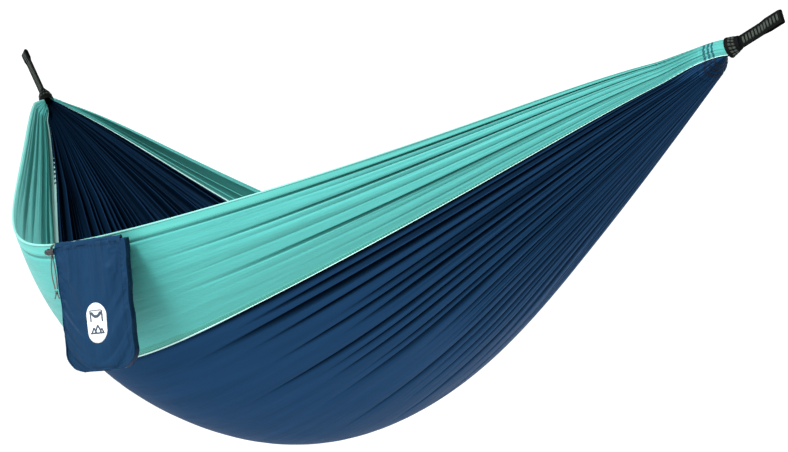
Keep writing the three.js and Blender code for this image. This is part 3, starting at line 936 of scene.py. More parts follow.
def lines_between(low, high, per_fold):
    """Lines across the cloth: one on every crease and three on every tuck, and about per_fold between
    two creases, closest together near the creases."""
    folds = [*MAIN_LINES]
    for line, half, _ in TUCKS:
        folds = [other for other in folds if abs(other - line) > 1.5 * half]
        folds += [line - half, line, line + half]
    knots = [low, *sorted(line for line in folds if low + 0.004 < line < high - 0.004), high]
    made = []
    for a, b in zip(knots, knots[1:]):
        count = max(3, round(per_fold * (b - a) / (2 / CREASE_COUNT)))
        share = np.linspace(0, 1, count, endpoint=False)
        made.append(a + (b - a) * (share - 0.11 * np.sin(2 * math.pi * share)))
    return np.concatenate([*made, [high]])


def add_panel(name, node, low, high, material):
    u = ALONG[:, None]
    w = lines_between(low, high, 12)[None, :]
    piece = sheet_piece(name, cloth(u, w), flat_uv(u, w), material)
    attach(piece, "hammock")
    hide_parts(node)
    return piece, (round((high - low) * FLAT_HALF_WIDTH, 3), 2 * FLAT_HALF_LENGTH)


def band_points(u, low, high, thickness, around=14):
    """A band of cloth between two lines, as rings with rounded edges."""
    angle = full_turn(around)
    across = 0.5 + 0.5 * bulge(np.cos(angle), 0.45)
    out = bulge(np.sin(angle), 0.45) * thickness / 2
    w = np.clip(low + (high - low) * across[None, :], -1, 1)
    return cloth(u[:, None], w, out[None, :]), flat_uv(u[:, None], w)


def add_band(name, node, low, high, thickness, material, widen=0.0):
    """widen makes the band take up more of the cloth's lines towards the ends, where they close up."""
    u = np.concatenate([-AFTER_GATHER[::-1], np.linspace(-0.9, 0.9, 181), AFTER_GATHER])
    half = (high - low) / 2 * (1 + widen * smooth_step(np.abs(u), 0.1, 0.85))[:, None]
    rings, uv = band_points(u, (low + high) / 2 - half, (low + high) / 2 + half, thickness)
    piece = tube_piece(name, rings, uv, material)
    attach(piece, "hammock")
    if node:
        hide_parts(node)
    return piece


ROW_STITCH = {"pitch": 0.0052, "length": 0.0036, "width": 0.0009, "reach": 0.955, "step": 0.0006}


def add_stitch_row(name, w, lift):
    """Stitches along the hammock on line w, on the outer face for a positive lift."""
    reach = ROW_STITCH["reach"]
    u = np.linspace(-reach, reach, int(2 * FLAT_HALF_LENGTH * reach / ROW_STITCH["pitch"]))
    ahead = cloth(u + ROW_STITCH["step"], w, lift) - cloth(u - ROW_STITCH["step"], w, lift)
    face = outward(u, np.full_like(u, w)) * (1 if lift > 0 else -1)
    piece = stitches_piece(name, cloth(u, w, lift), ahead, face, ROW_STITCH["length"],
                           ROW_STITCH["width"], turquoise_thread)
    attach(piece, "hammock")
    return piece


HEM_THICKNESS = 0.0026
EDGE_THICKNESS = 0.0042
SEAM_THICKNESS = 0.0014
BEAD = 0.0028                    # half the width of the painted highlight along a seam
EDGE = 1.6 * BEAD                # the width of the painted highlight along a hem's top edge
BEAD_WIDEN = 1.1

near_hem = add_band("near_hem_band", "near_edge_hem", -1, -1 + HEM_SHARE, HEM_THICKNESS, hem_cloth)
far_hem = add_band("far_hem_band", "far_edge_hem", 1 - HEM_SHARE, 1, HEM_THICKNESS, hem_cloth)
near_tape = add_band("near_seam_band", "near_panel_seam", NEAR_SEAM - SEAM_SHARE, NEAR_SEAM,
                     SEAM_THICKNESS, seam_cloth)
far_tape = add_band("far_seam_band", "far_panel_seam", FAR_SEAM_MIDDLE, FAR_SEAM_MIDDLE + SEAM_SHARE,
                    SEAM_THICKNESS, seam_cloth)
# Raised bands along each seam, coloured pale: painted highlight.
near_bead = add_band("near_seam_bead", None, NEAR_SEAM - BEAD, NEAR_SEAM + BEAD, 0.0046, seam_highlight_cloth,
                     BEAD_WIDEN)
far_bead = add_band("far_seam_bead", None, FAR_SEAM_MIDDLE - BEAD, FAR_SEAM_MIDDLE + BEAD, 0.0040,
                    seam_highlight_cloth, BEAD_WIDEN)
# Pale bands along each hem's top edge: painted highlight.
near_edge = add_band("near_hem_edge", None, -1, -1 + EDGE, EDGE_THICKNESS, hem_highlight_cloth)
far_edge = add_band("far_hem_edge", None, 1 - EDGE, 1, EDGE_THICKNESS, hem_highlight_cloth)

near_panel, near_flat = add_panel("near_side_cloth", "near_side_panel", -1 + HEM_SHARE / 2,
                                  NEAR_SEAM - SEAM_SHARE / 2, turquoise_cloth)
centre_panel, centre_flat = add_panel("centre_cloth", "centre_panel", NEAR_SEAM, FAR_SEAM_MIDDLE, navy_cloth)
far_panel, far_flat = add_panel("far_side_cloth", "far_side_panel", FAR_SEAM_MIDDLE + SEAM_SHARE / 2,
                                1 - HEM_SHARE / 2, turquoise_cloth)


# ---- End channels: the folded-over ends of the cloth, with three rows of stitches ----
CHANNEL_COLOURS = {"near": (turquoise_cloth, "turquoise_cloth"), "centre": (navy_cloth, "navy_cloth"),
                   "far": (turquoise_cloth, "turquoise_cloth")}
CHANNEL_LINES = {"near": (-1, NEAR_SEAM), "centre": (NEAR_SEAM, FAR_SEAM_MIDDLE),
                 "far": (FAR_SEAM_MIDDLE, 1)}
CHANNEL_LIFT = 0.0011            # its second layer lies this far out from the first
ROW_LIFT = 0.0015                # and its rows of stitches this far
CHANNEL_ROWS = (0.9665, 0.9678, 0.9715, 0.9728, 0.9765, 0.9778)


def add_channel(end, stretch):
    """A second layer of cloth lying on the first, turned under at its inner edge."""
    side = ENDS[end]
    material, slot = CHANNEL_COLOURS[stretch]
    low, high = CHANNEL_LINES[stretch]
    along = np.linspace(CHANNEL_START, END_U - 0.002, 22)
    u = side * along[:, None]
    w = lines_between(low, high, 10)[None, :]
    lift = CHANNEL_LIFT * smooth_step(along, CHANNEL_START - 0.001, CHANNEL_START + 0.004)[:, None]
    piece = sheet_piece(f"{end}_channel_{stretch}_cloth", cloth(u, w, lift + 0 * w), flat_uv(u, w), material)
    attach(piece, "hammock")
    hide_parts(f"{end}_end_channel_{stretch}")
    rows = []
    for row in CHANNEL_ROWS:
        count = max(4, int((high - low) * 90))
        lines = np.linspace(low, high, count + 2)[1:-1]
        places = side * (row + 0.0005 * np.sin(lines * 60))
        step = 0.003
        centres = cloth(places, lines, ROW_LIFT)
        ahead = cloth(places, lines + step, ROW_LIFT) - cloth(places, lines - step, ROW_LIFT)
        rows.append((centres, ahead, outward(places, lines)))
    centres, ahead, face = (np.concatenate(parts) for parts in zip(*rows))
    colour = navy_thread if stretch == "centre" else row_thread
    thread = stitches_piece(f"{end}_channel_{stretch}_stitches", centres, ahead, face, 0.0024, 0.0012,
                            colour)
    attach(thread, "hammock")
    return [piece, thread]


# Half height, half depth and place along the strap, where the squeezed cloth starts and ends.
BUNDLE_TALL = (0.0125, 0.0075)
BUNDLE_THICK = (0.0075, 0.0028)
BUNDLE_PLACE = (0.0005, 0.0215)
BUNDLE_RINGS = 8


def add_bundle(end):
    """The squeezed cloth inside the collar."""
    side = ENDS[end]
    angle = full_turn(72)
    axis = np.array([side * math.cos(ELEVATION[end]), 0, math.sin(ELEVATION[end])])
    up = np.array([-side * math.sin(ELEVATION[end]), 0, math.cos(ELEVATION[end])])
    across = np.array([0, 1, 0])
    pleats = 1 + 0.05 * np.sin(angle * 13) + 0.03 * np.sin(angle * 29 + 1)
    rings = []
    for share in np.linspace(0, 1, BUNDLE_RINGS):
        tall, thick, place = (pair[0] + (pair[1] - pair[0]) * share
                              for pair in (BUNDLE_TALL, BUNDLE_THICK, BUNDLE_PLACE))
        centre = np.array([side * HALF_SPAN, 0, 0]) + axis * place
        rings.append(centre + across * (thick * pleats * np.cos(angle))[:, None]
                     + up * (tall * pleats * np.sin(angle))[:, None])
    rings = np.array(rings)
    uv = pair_up(np.linspace(0, 0.02, BUNDLE_RINGS)[:, None], angle[None] * 0.012)
    piece = tube_piece(f"{end}_bundle_cloth", rings, uv, navy_cloth)
    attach(piece, "hammock")
    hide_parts(f"{end}_gathered_bundle")


channels = {stretch: [] for stretch in CHANNEL_LINES}
for end in ENDS:
    for stretch in CHANNEL_LINES:
        channels[stretch] += add_channel(end, stretch)
    add_bundle(end)

MM = 1 / (FLAT_HALF_WIDTH * 1000)   # one millimetre across the cloth, as a share of half its width
for kind, near_line, far_line, places, height, slot in (
        ("hem", -1, 1, (4, 20), 0.001, "turquoise_cloth"),
        ("seam", NEAR_SEAM, FAR_SEAM_MIDDLE, (3, 6.5, 10), 0.0009, "seam_tape")):
    inward = 1 if kind == "hem" else -1
    for k, place in enumerate(places):
        for face, lift in (("outer", height), ("inner", -height)):
            add_stitch_row(f"near_{kind}_row_{k}_{face}", near_line + inward * place * MM,
                                            lift)
            add_stitch_row(f"far_{kind}_row_{k}_{face}", far_line - inward * place * MM,
                                           lift)


# ---- Webbing ----
def strap_axes(end):
    """Origin, along the strap, its back face and its upper edge."""
    side = ENDS[end]
    along = np.array([side * math.cos(ELEVATION[end]), 0, math.sin(ELEVATION[end])])
    back = np.array([0, side, 0])
    return np.array([side * HALF_SPAN, 0, 0]), along, back, np.cross(along, back)


def webbing_section(half_thickness, around=40):
    """(across, out) pairs round the webbing's section, with fuller edges."""
    half = WEBBING["width"] / 2
    angle = full_turn(around)
    across = bulge(np.cos(angle), 0.6) * half
    flank = bulge(np.sin(angle), 0.35)
    fuller = 0.82 + 0.18 * smooth_step(np.abs(across), half * 0.55, half * 0.75)
    return across, flank * half_thickness * fuller


STRAP_STEPS = 120


def strap_line(end):
    """The webbing's middle line, (along, out) pairs: out to the eye, round it and back."""
    half = WEBBING["thickness"] / 2
    flat = WEBBING["layer_gap"] / 2 + half
    outer = WEBBING["eye_gap"] / 2 + half
    finish = WEBBING["start"] + STRAP_LENGTH[end]
    bend = finish - outer - half
    sewn = finish - WEBBING["eye_length"] - WEBBING["taper"] / 2
    opened = sewn + WEBBING["taper"]
    start = 0.012
    go = np.linspace(start, bend, STRAP_STEPS)
    spread = flat + (outer - flat) * smooth_step(go, sewn, opened)
    angle = np.linspace(-math.pi / 2, math.pi / 2, 24)[1:-1]
    turn = np.stack([bend + outer * np.cos(angle), outer * np.sin(angle)], axis=1)
    return np.concatenate([np.stack([go, -spread], axis=1), turn,
                           np.stack([go[::-1], spread[::-1]], axis=1)])


def add_strap(end):
    origin, along, back, up = strap_axes(end)
    line = strap_line(end)
    path = origin + along * line[:, :1] + back * line[:, 1:]
    ahead = np.gradient(path, axis=0)
    ahead /= np.linalg.norm(ahead, axis=1, keepdims=True)
    out = np.cross(ahead, up)
    across, depth = webbing_section(WEBBING["thickness"] / 2)
    # Inside the collar the webbing is squeezed narrower.
    squeeze = 0.9 + 0.1 * smooth_step(line[:, 0], 0.014, 0.024)
    rings = (path[:, None] + up * (across[None, :, None] * squeeze[:, None, None])
             + out[:, None] * depth[None, :, None])
    uv = pair_up(lengths_along(path)[:, None], across[None])
    piece = tube_piece(f"{end}_strap", rings, uv, webbing_black)
    finish_strap(piece, f"{end}_strap_loop")


def finish_strap(piece, node):
    """Bakes the strap's place into its mesh and hides the frame's part for it."""
    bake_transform(piece)
    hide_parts(node)


def add_rungs(end):
    """Bars of heavy thread across both faces of the strap, four threads to a bar."""
    origin, along, back, up = strap_axes(end)
    outer_face = strap_line(end)[:STRAP_STEPS]
    centres = []
    aheads = []
    faces = []
    first = WEBBING["start"] + RUNG["margin"]
    places = np.arange(first, WEBBING["start"] + STRAP_LENGTH[end] - RUNG["margin"], RUNG["pitch"])
    for k, place in enumerate(places):
        out = np.interp(place, outer_face[:, 0], outer_face[:, 1])
        tilt = RUNG["lean"] if k % 2 else -RUNG["lean"]
        for thread in range(4):
            shift = (thread - 1.5) * RUNG["thread_pitch"]
            for side in (-1, 1):
                depth = side * (-out + WEBBING["thickness"] / 2 * 0.82 + 0.0002)
                centres.append(origin + along * (place + shift) + back * depth)
                aheads.append(up + along * tilt)
                faces.append(back * side)
    piece = stitches_piece(f"{end}_strap_rungs", np.array(centres), np.array(aheads), np.array(faces),
                           RUNG["length"], RUNG["thread"], webbing_thread)
    finish_strap(piece, f"{end}_strap_stitching")


def collar_radii(end, share):
    """Half height and half depth of the collar: full size round the cloth, the strap's at its end."""
    wide = COLLAR["radius"] - 0.0015
    tall = wide + (COLLAR["tall"] - wide) * share
    pressed = wide * (0.3 + 0.7 * PRESSED[end]) * 0.95
    return tall, pressed + (COLLAR["thick"] - pressed) * share


def collar_point(end, share, angle, inset):
    origin, along, back, up = strap_axes(end)
    begin = COLLAR_START[end]
    place = begin + (COLLAR["length"] - begin) * share
    narrowed = max(place, 0) / COLLAR["length"]
    tall, thick = collar_radii(end, narrowed)
    centre = origin + along * place + up * BUNDLE_LIFT * (1 - narrowed)
    return centre + back * ((thick - inset) * math.cos(angle)) + up * ((tall - inset) * math.sin(angle))


def add_collar(end):
    """Webbing hitched round the gathered cloth: its two edges are the collar's two rims."""
    sides = 96
    around = 22
    section = full_turn(around)
    shares = 0.5 - 0.5 * bulge(np.cos(section), 0.6)
    out = bulge(np.sin(section), 0.35)
    rings = []
    uv = []
    for k in range(sides):
        angle = 2 * math.pi * k / sides
        ring = []
        for share, side in zip(shares, out):
            fuller = 1.0 if share < 0.2 or share > 0.8 else 0.75
            inset = 0.0011 - side * 0.00095 * fuller
            ring.append(collar_point(end, share, angle, inset))
            uv.append((angle * COLLAR["radius"], (share - 0.5) * WEBBING["width"]))
        rings.append(ring)
    points = np.array(rings).reshape(-1, 3)
    piece = link_mesh(f"{end}_webbing_wrap", points, loop_faces(sides, around), webbing_black, uv)
    face_outwards(piece)
    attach(piece, "hammock")
    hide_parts(f"{end}_webbing_collar")


def add_collar_rungs(end):
    """The same bars of thread, which run from rim to rim of the collar."""
    centres = []
    aheads = []
    faces = []
    bars = 14
    for bar in range(bars):
        for thread in range(3):
            angle = 2 * math.pi * (bar + (thread - 1) * 0.2) / bars
            for share in (0.38, 0.62):
                turn = angle + (share - 0.5) * 0.5
                here = collar_point(end, share, turn, 0.0004)
                centres.append(here)
                aheads.append(collar_point(end, share + 0.1, turn + 0.06, 0.0004) - here)
                faces.append(here - collar_point(end, share, turn, 0.003))
    piece = stitches_piece(f"{end}_wrap_rungs", np.array(centres), np.array(aheads), np.array(faces),
                           0.0052, 0.001, webbing_thread)
    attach(piece, "hammock")


for end in ENDS:
    add_strap(end)
    add_rungs(end)
    add_collar(end)
    add_collar_rungs(end)


# ---- Stuff sack ----
def half_width_at(z):
    """Half the sack's width at a height, with round bottom corners."""
    below = np.clip(-(z + SACK["height"] - SACK["corner"]), 0, SACK["corner"])
    return SACK["half_width"] - SACK["corner"] + np.sqrt(SACK["corner"] ** 2 - below ** 2)


ROWS, COLUMNS, GUSSET_STEPS = 96, 72, 8
SACK_TAPER = 0.006               # its left side leans in towards the bottom


FRONT_OUT = 0.004                # how far the right edge of the sack's front stands out
BACK_OUT = -0.002                # and that of its back


def sack_face(y, top, crown, seed, right_out):
    """One big face of the sack: crowned, with soft wrinkles that run down from the gathered mouth."""
    draw = np.random.default_rng(seed)
    a = np.linspace(-1, 1, COLUMNS + 1)[None, :]
    b = np.linspace(0, 1, ROWS + 1)[:, None]
    z = top + (-SACK["height"] - top) * b
    slump = 0.0012 * np.sin(9 * b + 0.5) + 0.0008 * np.sin(23 * b)
    x = a * (half_width_at(z) + slump) + (1 - a) / 2 * SACK_TAPER * smooth_step(b, 0.25, 1.0)
    x = x + (1 + a) / 2 * right_out
    inner = np.clip((1 - np.abs(a) ** 3) * (1 - b ** 6), 0, 1)
    rise = crown * inner * (0.35 + 0.65 * np.sin(math.pi * np.clip(b * 0.8 + 0.1, 0, 1)))
    wrinkles = np.zeros_like(rise)
    for _ in range(15):
        middle = draw.uniform(-0.92, 0.92)
        reach = draw.uniform(0.15, 0.75)
        width = draw.uniform(0.05, 0.13) * (1 + b)
        line = middle + draw.uniform(-0.3, 0.3) * b + 0.03 * np.sin(draw.uniform(4, 9) * b)
        strength = draw.uniform(-0.0045, 0.0045) * (1 - smooth_step(b, reach * 0.4, reach))
        wrinkles += strength * np.exp(-((a - line) / width) ** 2)
    for _ in range(9):
        middle = draw.uniform(-0.8, 0.8)
        height = draw.uniform(0.15, 1.0)
        slope = draw.uniform(-0.5, 0.5)
        off = (b - height - slope * (a - middle)) / draw.uniform(0.02, 0.05)
        span = np.clip(1 - ((a - middle) / draw.uniform(0.3, 0.7)) ** 2, 0, 1)
        wrinkles += draw.uniform(-0.0028, 0.0028) * span * np.exp(-off ** 2)
    return np.stack(np.broadcast_arrays(x, y + rise + wrinkles * inner ** 0.5, z), axis=-1)


def outline_of(face):
    """The face's two sides and bottom, from the top left corner round to the top right one."""
    return np.concatenate([face[:, 0], face[-1, 1:], face[-2::-1, -1]])


def sack_shell():
    """The sack's three cloth pieces, as grids of points, before it is filled out."""
    front = sack_face(SACK["front"], SACK["front_top"], -0.0042, 3, FRONT_OUT)
    back = sack_face(SACK["back"], SACK["back_top"], 0.0006, 4, BACK_OUT)
    near, far = outline_of(front), outline_of(back)
    share = np.linspace(0, 1, GUSSET_STEPS + 1)[:, None, None]
    gusset = near[None] + (far - near)[None] * share
    centre = np.array([0, 0, -SACK["height"] / 2])
    pull = np.sin(share * math.pi) * 0.0016
    towards = centre - near
    towards[:, 1] = 0
    towards /= np.linalg.norm(towards, axis=1, keepdims=True)
    return {"front": front, "gusset": gusset + towards[None] * pull, "back": back}


SETTLE_FRAMES = 22
SETTLE_LIMIT = 0.004             # the most that the simulation may move the cloth each way
SETTLE_CLOTH = {
    "quality": 6, "mass": 0.08, "tension_stiffness": 12, "compression_stiffness": 12,
    "bending_stiffness": 0.12, "vertex_group_mass": "held", "use_pressure": True,
    "uniform_pressure_force": 0.35, "shrink_min": -0.035,
}


def settle(shell):
    """Fills the sack out a little with Blender's cloth, held at its mouth and along its seams, and
    least round the label."""
    vertices = np.concatenate([points.reshape(-1, 3) for points in shell.values()])
    faces = []
    base = 0
    for points in shell.values():
        faces += [[v + base for v in face] for face in grid_faces(*points.shape[:2])]
        base += points.shape[0] * points.shape[1]
    piece = link_mesh("sack_trial", vertices, faces, sack_cloth)
    work = bmesh.new()
    work.from_mesh(piece.data)
    bmesh.ops.remove_doubles(work, verts=work.verts, dist=1e-5)
    bmesh.ops.recalc_face_normals(work, faces=work.faces)
    kept = {tuple(np.round(v.co, 5)): i for i, v in enumerate(work.verts)}
    work.to_mesh(piece.data)
    work.free()
    held = piece.vertex_groups.new(name="held")
    for i, vertex in enumerate(piece.data.vertices):
        if vertex.co.z > SACK["front_top"] - 0.004:
            held.add([i], 1.0, "REPLACE")
    for key in np.round(np.concatenate([outline_of(shell["front"]), outline_of(shell["back"])]), 5):
        index = kept.get(tuple(key))
        if index is not None:
            held.add([index], 0.9, "REPLACE")
    modifier = piece.modifiers.new("cloth", "CLOTH")
    for key, value in SETTLE_CLOTH.items():
        setattr(modifier.settings, key, value)
    modifier.settings.effector_weights.gravity = 0.15
    modifier.point_cache.frame_end = SETTLE_FRAMES
    scene = bpy.context.scene
    for number in range(1, SETTLE_FRAMES + 1):
        scene.frame_set(number)
    apply_modifiers(piece)
    moved = np.array([v.co for v in piece.data.vertices])
    scene.frame_set(1)
    bpy.data.objects.remove(piece)
    settled = {}
    for name, points in shell.items():
        flat = points.reshape(-1, 3)
        index = np.array([kept.get(tuple(key), -1) for key in np.round(flat, 5)])
        new = np.where(index[:, None] >= 0, moved[index], flat)
        off = (flat[:, ::2] - (LABEL["x"], LABEL["z"])) / (0.04, 0.055)
        calm = 1 - 0.85 * np.exp(-(off ** 2).sum(1, keepdims=True))
        step = np.clip(new - flat, -SETTLE_LIMIT, SETTLE_LIMIT) * calm
        settled[name] = (flat + step).reshape(points.shape)
    return settled


def add_sack_cloth(name, node, points, uv, material):
    piece = sheet_piece(name, from_sack(points.reshape(-1, 3)).reshape(points.shape), uv, material, 0.0006)
    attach(piece, "sack")
    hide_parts(node)
    return piece


def add_piping(front):
    line = outline_of(front) + (0, -0.0002, 0)
    rings, uv = tube_rings(from_sack(smooth_path(line[::2], 2)), 0.0013, 12, SACK_TURN[:, 1])
    piece = tube_piece("sack_corded_edge", rings, uv, sack_cloth)
    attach(piece, "sack")
    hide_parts("sack_piping")


# How close together the sleeve's gathers are and how high, from several waves.
SLEEVE_GATHERS = ((190, 0.00035), (330, 0.0003), (520, 0.0002), (90, 0.0004), (760, 0.00012))


def add_sleeve():
    """The gathered sleeve across the mouth that the drawcord runs in."""
    along = np.linspace(-SLEEVE["half_length"], SLEEVE["half_length"], 150)
    around = 40
    angle = full_turn(around)
    middle = np.array([(SLEEVE["near"] + SLEEVE["far"]) / 2, (SLEEVE["low"] + SLEEVE["high"]) / 2])
    half = np.array([(SLEEVE["far"] - SLEEVE["near"]) / 2, (SLEEVE["high"] - SLEEVE["low"]) / 2])
    phase = rng.uniform(0, 6.28, len(SLEEVE_GATHERS))
    gathers = sum(np.sin(along * rate + phase[k]) * size
                  for k, (rate, size) in enumerate(SLEEVE_GATHERS))
    ring_y = bulge(np.cos(angle), 0.75)
    ring_z = bulge(np.sin(angle), 0.75)
    rings = []
    for place, gather in zip(along, gathers):
        wall = half - 0.0003 + gather * 0.7
        y = middle[0] + wall[0] * ring_y
        z = middle[1] + wall[1] * ring_z + 0.0004 * math.sin(place * 70)
        rings.append(np.stack([np.full(around, place), y, z], axis=1))
    outer = np.array(rings)
    inner = outer.copy()
    inner[:, :, 1:] = middle + (outer[:, :, 1:] - middle) * 0.82
    points = np.concatenate([outer, inner[::-1]])
    uv = pair_up(np.concatenate([along, along[::-1]])[:, None], angle[None] * 0.004)
    faces = loop_faces(len(points), around)
    piece = link_mesh("sack_sleeve_cloth", from_sack(points.reshape(-1, 3)), faces, sack_cloth,
                      uv.reshape(-1, 2))
    face_outwards(piece)
    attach(piece, "sack")
    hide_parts("sack_drawcord_sleeve")


TAPE = {"y": 0.0008, "z": -0.014, "half_thickness": 0.0013, "half_width": 0.0045, "half_length": 0.055}


def add_hang_tape():
    """The woven tape behind the sack that holds it under the hem."""
    along = np.linspace(-TAPE["half_length"], TAPE["half_length"], 60)
    angle = full_turn(24)
    y = TAPE["y"] + TAPE["half_thickness"] * bulge(np.sin(angle), 0.4)
    z = TAPE["z"] + TAPE["half_width"] * bulge(np.cos(angle), 0.4)
    wave = 0.0002 * np.sin(along * 260)
    rings = np.stack(np.broadcast_arrays(along[:, None], y[None] + wave[:, None], z[None]), axis=-1)
    uv = pair_up(along[:, None], z[None])
    piece = tube_piece("hang_tape", from_sack(rings.reshape(-1, 3)).reshape(rings.shape), uv, webbing_black)
    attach(piece, "sack")
    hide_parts("sack_hang_tape")


def front_tree(front):
    points = front.reshape(-1, 3)
    return BVHTree.FromPolygons([tuple(p) for p in points], grid_faces(*front.shape[:2]))


def lay_on(tree, x, z, lift):
    """A point in the sack's frame that lies on its front face, raised by lift."""
    hit, _, _, _ = tree.ray_cast(Vector((x, -0.1, z)), Vector((0, 1, 0)))
    return (x, hit.y - lift, z)


STITCH_INSET = 0.005             # from the corded edge to the row beside it


def sack_stitches(tree):
    """A row beside the corded edge, and two rows under the sleeve."""
    line = outline_of(sack_face(0, SACK["front_top"], 0, 3, BACK_OUT))[:, ::2]
    middle = np.array([0, -0.11])
    scale = 1 - STITCH_INSET / np.array([SACK["half_width"], 0.117])
    line = middle + (line - middle) * scale
    length = lengths_along(line)
    places = np.arange(0.004, length[-1] - 0.004, 0.0046)
    xs, zs = (np.interp(places, length, line[:, k]) for k in (0, 1))
    rows = [np.stack([xs, zs], axis=1)]
    for z in (-0.0145, -0.0165):
        across = np.arange(-0.069, 0.07, 0.0042)
        rows.append(np.stack([across, np.full(len(across), z)], axis=1))
    centres = []
    aheads = []
    for row in rows:
        made = np.array([lay_on(tree, x, z, 0.0005) for x, z in row])
        centres.append(made)
        aheads.append(np.gradient(made, axis=0))
    centres = from_sack(np.concatenate(centres))
    aheads = np.concatenate(aheads) @ SACK_TURN.T
    faces = np.broadcast_to(-SACK_TURN[:, 1], centres.shape).copy()
    piece = stitches_piece("sack_stitches", centres, aheads, faces, 0.003, 0.0007, navy_thread)
    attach(piece, "sack")


def pill_outline(half_width, half_height, steps=20):
    """Round-ended outline, centred on the label."""
    straight = half_height - half_width
    top = [(half_width * math.cos(a), straight + half_width * math.sin(a))
           for a in np.linspace(0, math.pi, steps)]
    return np.array(top + [(-x, -z) for x, z in top])


def laid_piece(tree, name, points, faces, rim, lift, thickness, material):
    """A thin piece laid on the sack's front. Its points are in the label's own plane, and rim lists
    the ones round its edge."""
    front = [lay_on(tree, LABEL["x"] + x, LABEL["z"] + z, lift + thickness) for x, z in points]
    back = [(x, y + thickness, z) for x, y, z in front]
    total = len(front)
    faces = faces + [[v + total for v in reversed(face)] for face in faces]
    faces += [[a, b, b + total, a + total] for a, b in zip(rim, rim[1:] + rim[:1])]
    piece = link_mesh(name, from_sack(np.array(front + back)), faces, material)
    face_outwards(piece)
    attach(piece, "sack")
    return piece


def arc_band(middle, radius, start, end, width, steps=18):
    """A curved bar as an outline."""
    angles = np.radians(np.linspace(start, end, steps))
    outer = [(middle[0] + (radius + width / 2) * math.cos(a), middle[1] + (radius + width / 2) * math.sin(a))
             for a in angles]
    inner = [(middle[0] + (radius - width / 2) * math.cos(a), middle[1] + (radius - width / 2) * math.sin(a))
             for a in angles[::-1]]
    return np.array(outer + inner)


def bar_piece(tree, name, outline, lift, thickness):
    """A bar laid on the label, as a strip of quads between its two long sides."""
    count = len(outline) // 2
    points = np.concatenate([outline[:count], outline[count:][::-1]])
    faces = [[i, i + 1, count + i + 1, count + i] for i in range(count - 1)]
    rim = list(range(count)) + list(range(2 * count - 1, count - 1, -1))
    laid_piece(tree, name, points, faces, rim, lift, thickness, label_print)


def bar(start, end, width, steps=6):
    """A straight bar as an outline."""
    start, end = np.array(start, float), np.array(end, float)
    side = np.array([start[1] - end[1], end[0] - start[0]])
    side = side / np.linalg.norm(side) * width / 2
    shares = np.linspace(0, 1, steps)[:, None]
    one = start + (end - start) * shares + side
    other = start + (end - start) * shares - side
    return np.concatenate([one, other[::-1]])


def add_label(tree):
    """A plain woven label: a hammock between two posts, over three peaks."""
    outline = pill_outline(LABEL["half_width"], LABEL["half_height"])
    count = len(outline)
    centre = outline.mean(0)
    points = np.concatenate([centre + (outline - centre) * share for share in np.linspace(1, 0.12, 10)])
    faces = grid_faces(10, count, wrap=True) + [list(range(len(points) - count, len(points)))]
    label = laid_piece(tree, "sack_woven_label", points, faces, list(range(count)), 0.0002, 0.0006,
                       label_white)
    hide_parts("sack_label")
    rim = pill_outline(LABEL["half_width"] - 0.002, LABEL["half_height"] - 0.002, 30)
    closed = np.concatenate([rim, rim[:1]])
    length = lengths_along(closed)
    places = np.arange(0, length[-1] - 0.001, 0.003)
    xs, zs = (np.interp(places, length, closed[:, k]) for k in (0, 1))
    centres = np.array([lay_on(tree, LABEL["x"] + x, LABEL["z"] + z, 0.001) for x, z in zip(xs, zs)])
    aheads = np.roll(centres, -1, axis=0) - np.roll(centres, 1, axis=0)
    faces = np.broadcast_to(-SACK_TURN[:, 1], centres.shape).copy()
    thread = stitches_piece("label_stitches", from_sack(centres), aheads @ SACK_TURN.T, faces, 0.0022,
                            0.0006, thread_material("label_thread", (0.55, 0.58, 0.6)))
    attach(thread, "sack")
    drawing = {
        "hammock": arc_band((0, 0.0205), 0.0095, 190, 350, 0.0052),
        "ridge_rope": bar((-0.0113, 0.0215), (0.0113, 0.0215), 0.0016),
        "left_post": bar((-0.0125, 0.0215), (-0.0125, 0.002), 0.003),
        "right_post": bar((0.0125, 0.0215), (0.0125, 0.002), 0.003),
        "ground": bar((-0.0155, -0.0175), (0.0155, -0.0175), 0.0026),
    }
    for k, (x, height) in enumerate(((-0.0075, 0.0085), (0.0015, 0.0125), (0.0095, 0.007))):
        foot = -0.0165
        drawing[f"peak_{k}_left"] = bar((x - height * 0.55, foot), (x, foot + height), 0.0030)
        drawing[f"peak_{k}_right"] = bar((x, foot + height), (x + height * 0.55, foot), 0.0030)
    for name, shape in drawing.items():
        bar_piece(tree, f"label_{name}", shape, 0.0008, 0.0003)


def add_sack():
    shell = sack_shell()
    shell = settle(shell)
    front, gusset, back = shell["front"], shell["gusset"], shell["back"]
    flat = {name: shell[name][..., [2, 0]] for name in ("front", "back")}
    around = lengths_along(outline_of(front))
    gusset_uv = pair_up(around[None, :], np.linspace(0, 0.018, GUSSET_STEPS + 1)[:, None])
    add_sack_cloth("sack_front_cloth", "sack_front_panel", front, flat["front"], sack_cloth)
    add_sack_cloth("sack_back_cloth", "sack_back_panel", back, flat["back"], sack_cloth)
    # The gusset gets the darker copy of the cloth: painted shade.
    add_sack_cloth("sack_gusset_cloth", "sack_gusset", gusset, gusset_uv, sack_side_painted_shade_cloth)
    tree = front_tree(front)
    add_piping(front)
    add_sleeve()
    add_hang_tape()
    sack_stitches(tree)
    add_label(tree)


add_sack()


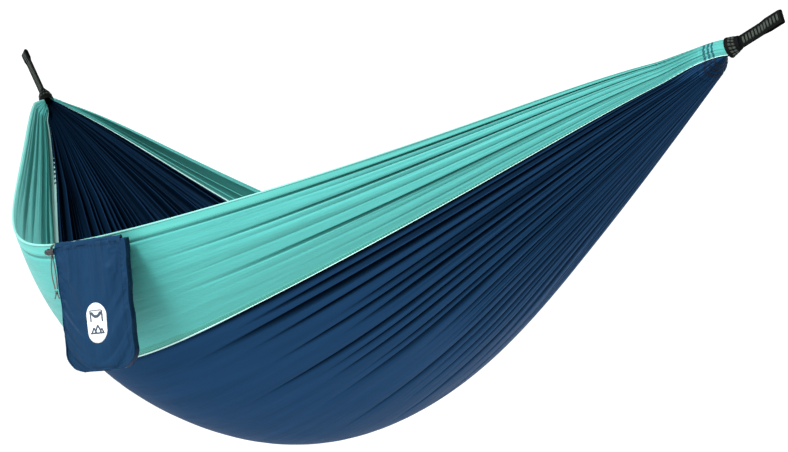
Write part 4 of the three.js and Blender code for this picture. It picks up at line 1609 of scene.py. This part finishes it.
# ---- Studio ----
FLOOR = -1.05
STUDIO_RADIUS = 19.0             # wide enough to stand well back from the hammock inside it
STUDIO_BEND = 6.0                # radius of the curve from the floor up to the wall
STUDIO_HEIGHT = 12.0
STUDIO_GLOW = 0.98               # the studio is a soft light itself
LIT_POINT = Vector((0.1, 0, -0.35))


def add_studio():
    """A pale round floor that curves up into a pale wall on every side, and glows like a light tent."""
    angles = full_turn(96)
    bend = STUDIO_BEND
    flat = STUDIO_RADIUS - bend
    profile = [(0.02, FLOOR), (flat / 3, FLOOR), (flat * 0.9, FLOOR)]
    profile += [(flat + bend * math.sin(a), FLOOR + bend * (1 - math.cos(a)))
                for a in np.linspace(0, math.pi / 2, 14)]
    profile.append((STUDIO_RADIUS, FLOOR + STUDIO_HEIGHT))
    rings = np.array([[(r * math.cos(a), r * math.sin(a), z) for a in angles] for r, z in profile])
    shader = Shader("studio", Specular_IOR_Level=0.1, Emission_Strength=STUDIO_GLOW)
    tone = shader.noise(shader.coordinates(output="Object"), 0.6, 2.0)
    pale = shader.ramp(tone, (0.93, 0.935, 0.94), (0.96, 0.963, 0.965))
    shader.tree.links.new(pale, shader.surface.inputs["Emission Color"])
    shader.surface.inputs["Base Color"].default_value = (0.3, 0.3, 0.3, 1)
    shader.surface.inputs["Roughness"].default_value = 0.9
    faces = grid_faces(len(profile), len(angles), wrap=True)
    faces.append(list(range(len(angles)))[::-1])
    floor = link_mesh("studio_floor", rings.reshape(-1, 3), faces, shader.material)


def add_light(name, position, power):
    data = bpy.data.lights.new(name, "AREA")
    data.shape = "DISK"
    data.size = 1.0
    data.energy = power
    light = bpy.data.objects.new(name, data)
    light.location = position
    light.rotation_euler = (LIT_POINT - position).to_track_quat("-Z", "Y").to_euler()
    bpy.context.scene.collection.objects.link(light)


def add_lights():
    right, up, back = camera_axes()
    add_light("key", LIT_POINT - right * 2.0 + back * 2.2 + up * 2.5, 235)
    add_light("behind", Vector((0.3, 2.7, 0.9)), 110)
    world = bpy.data.worlds.new("studio")
    bpy.context.scene.world = world
    world.use_nodes = True
    background = world.node_tree.nodes["Background"]
    background.inputs["Color"].default_value = (0.95, 0.975, 1.0, 1)
    background.inputs["Strength"].default_value = 0.08
    bpy.context.scene.view_settings.view_transform = "Standard"


add_studio()
add_lights()
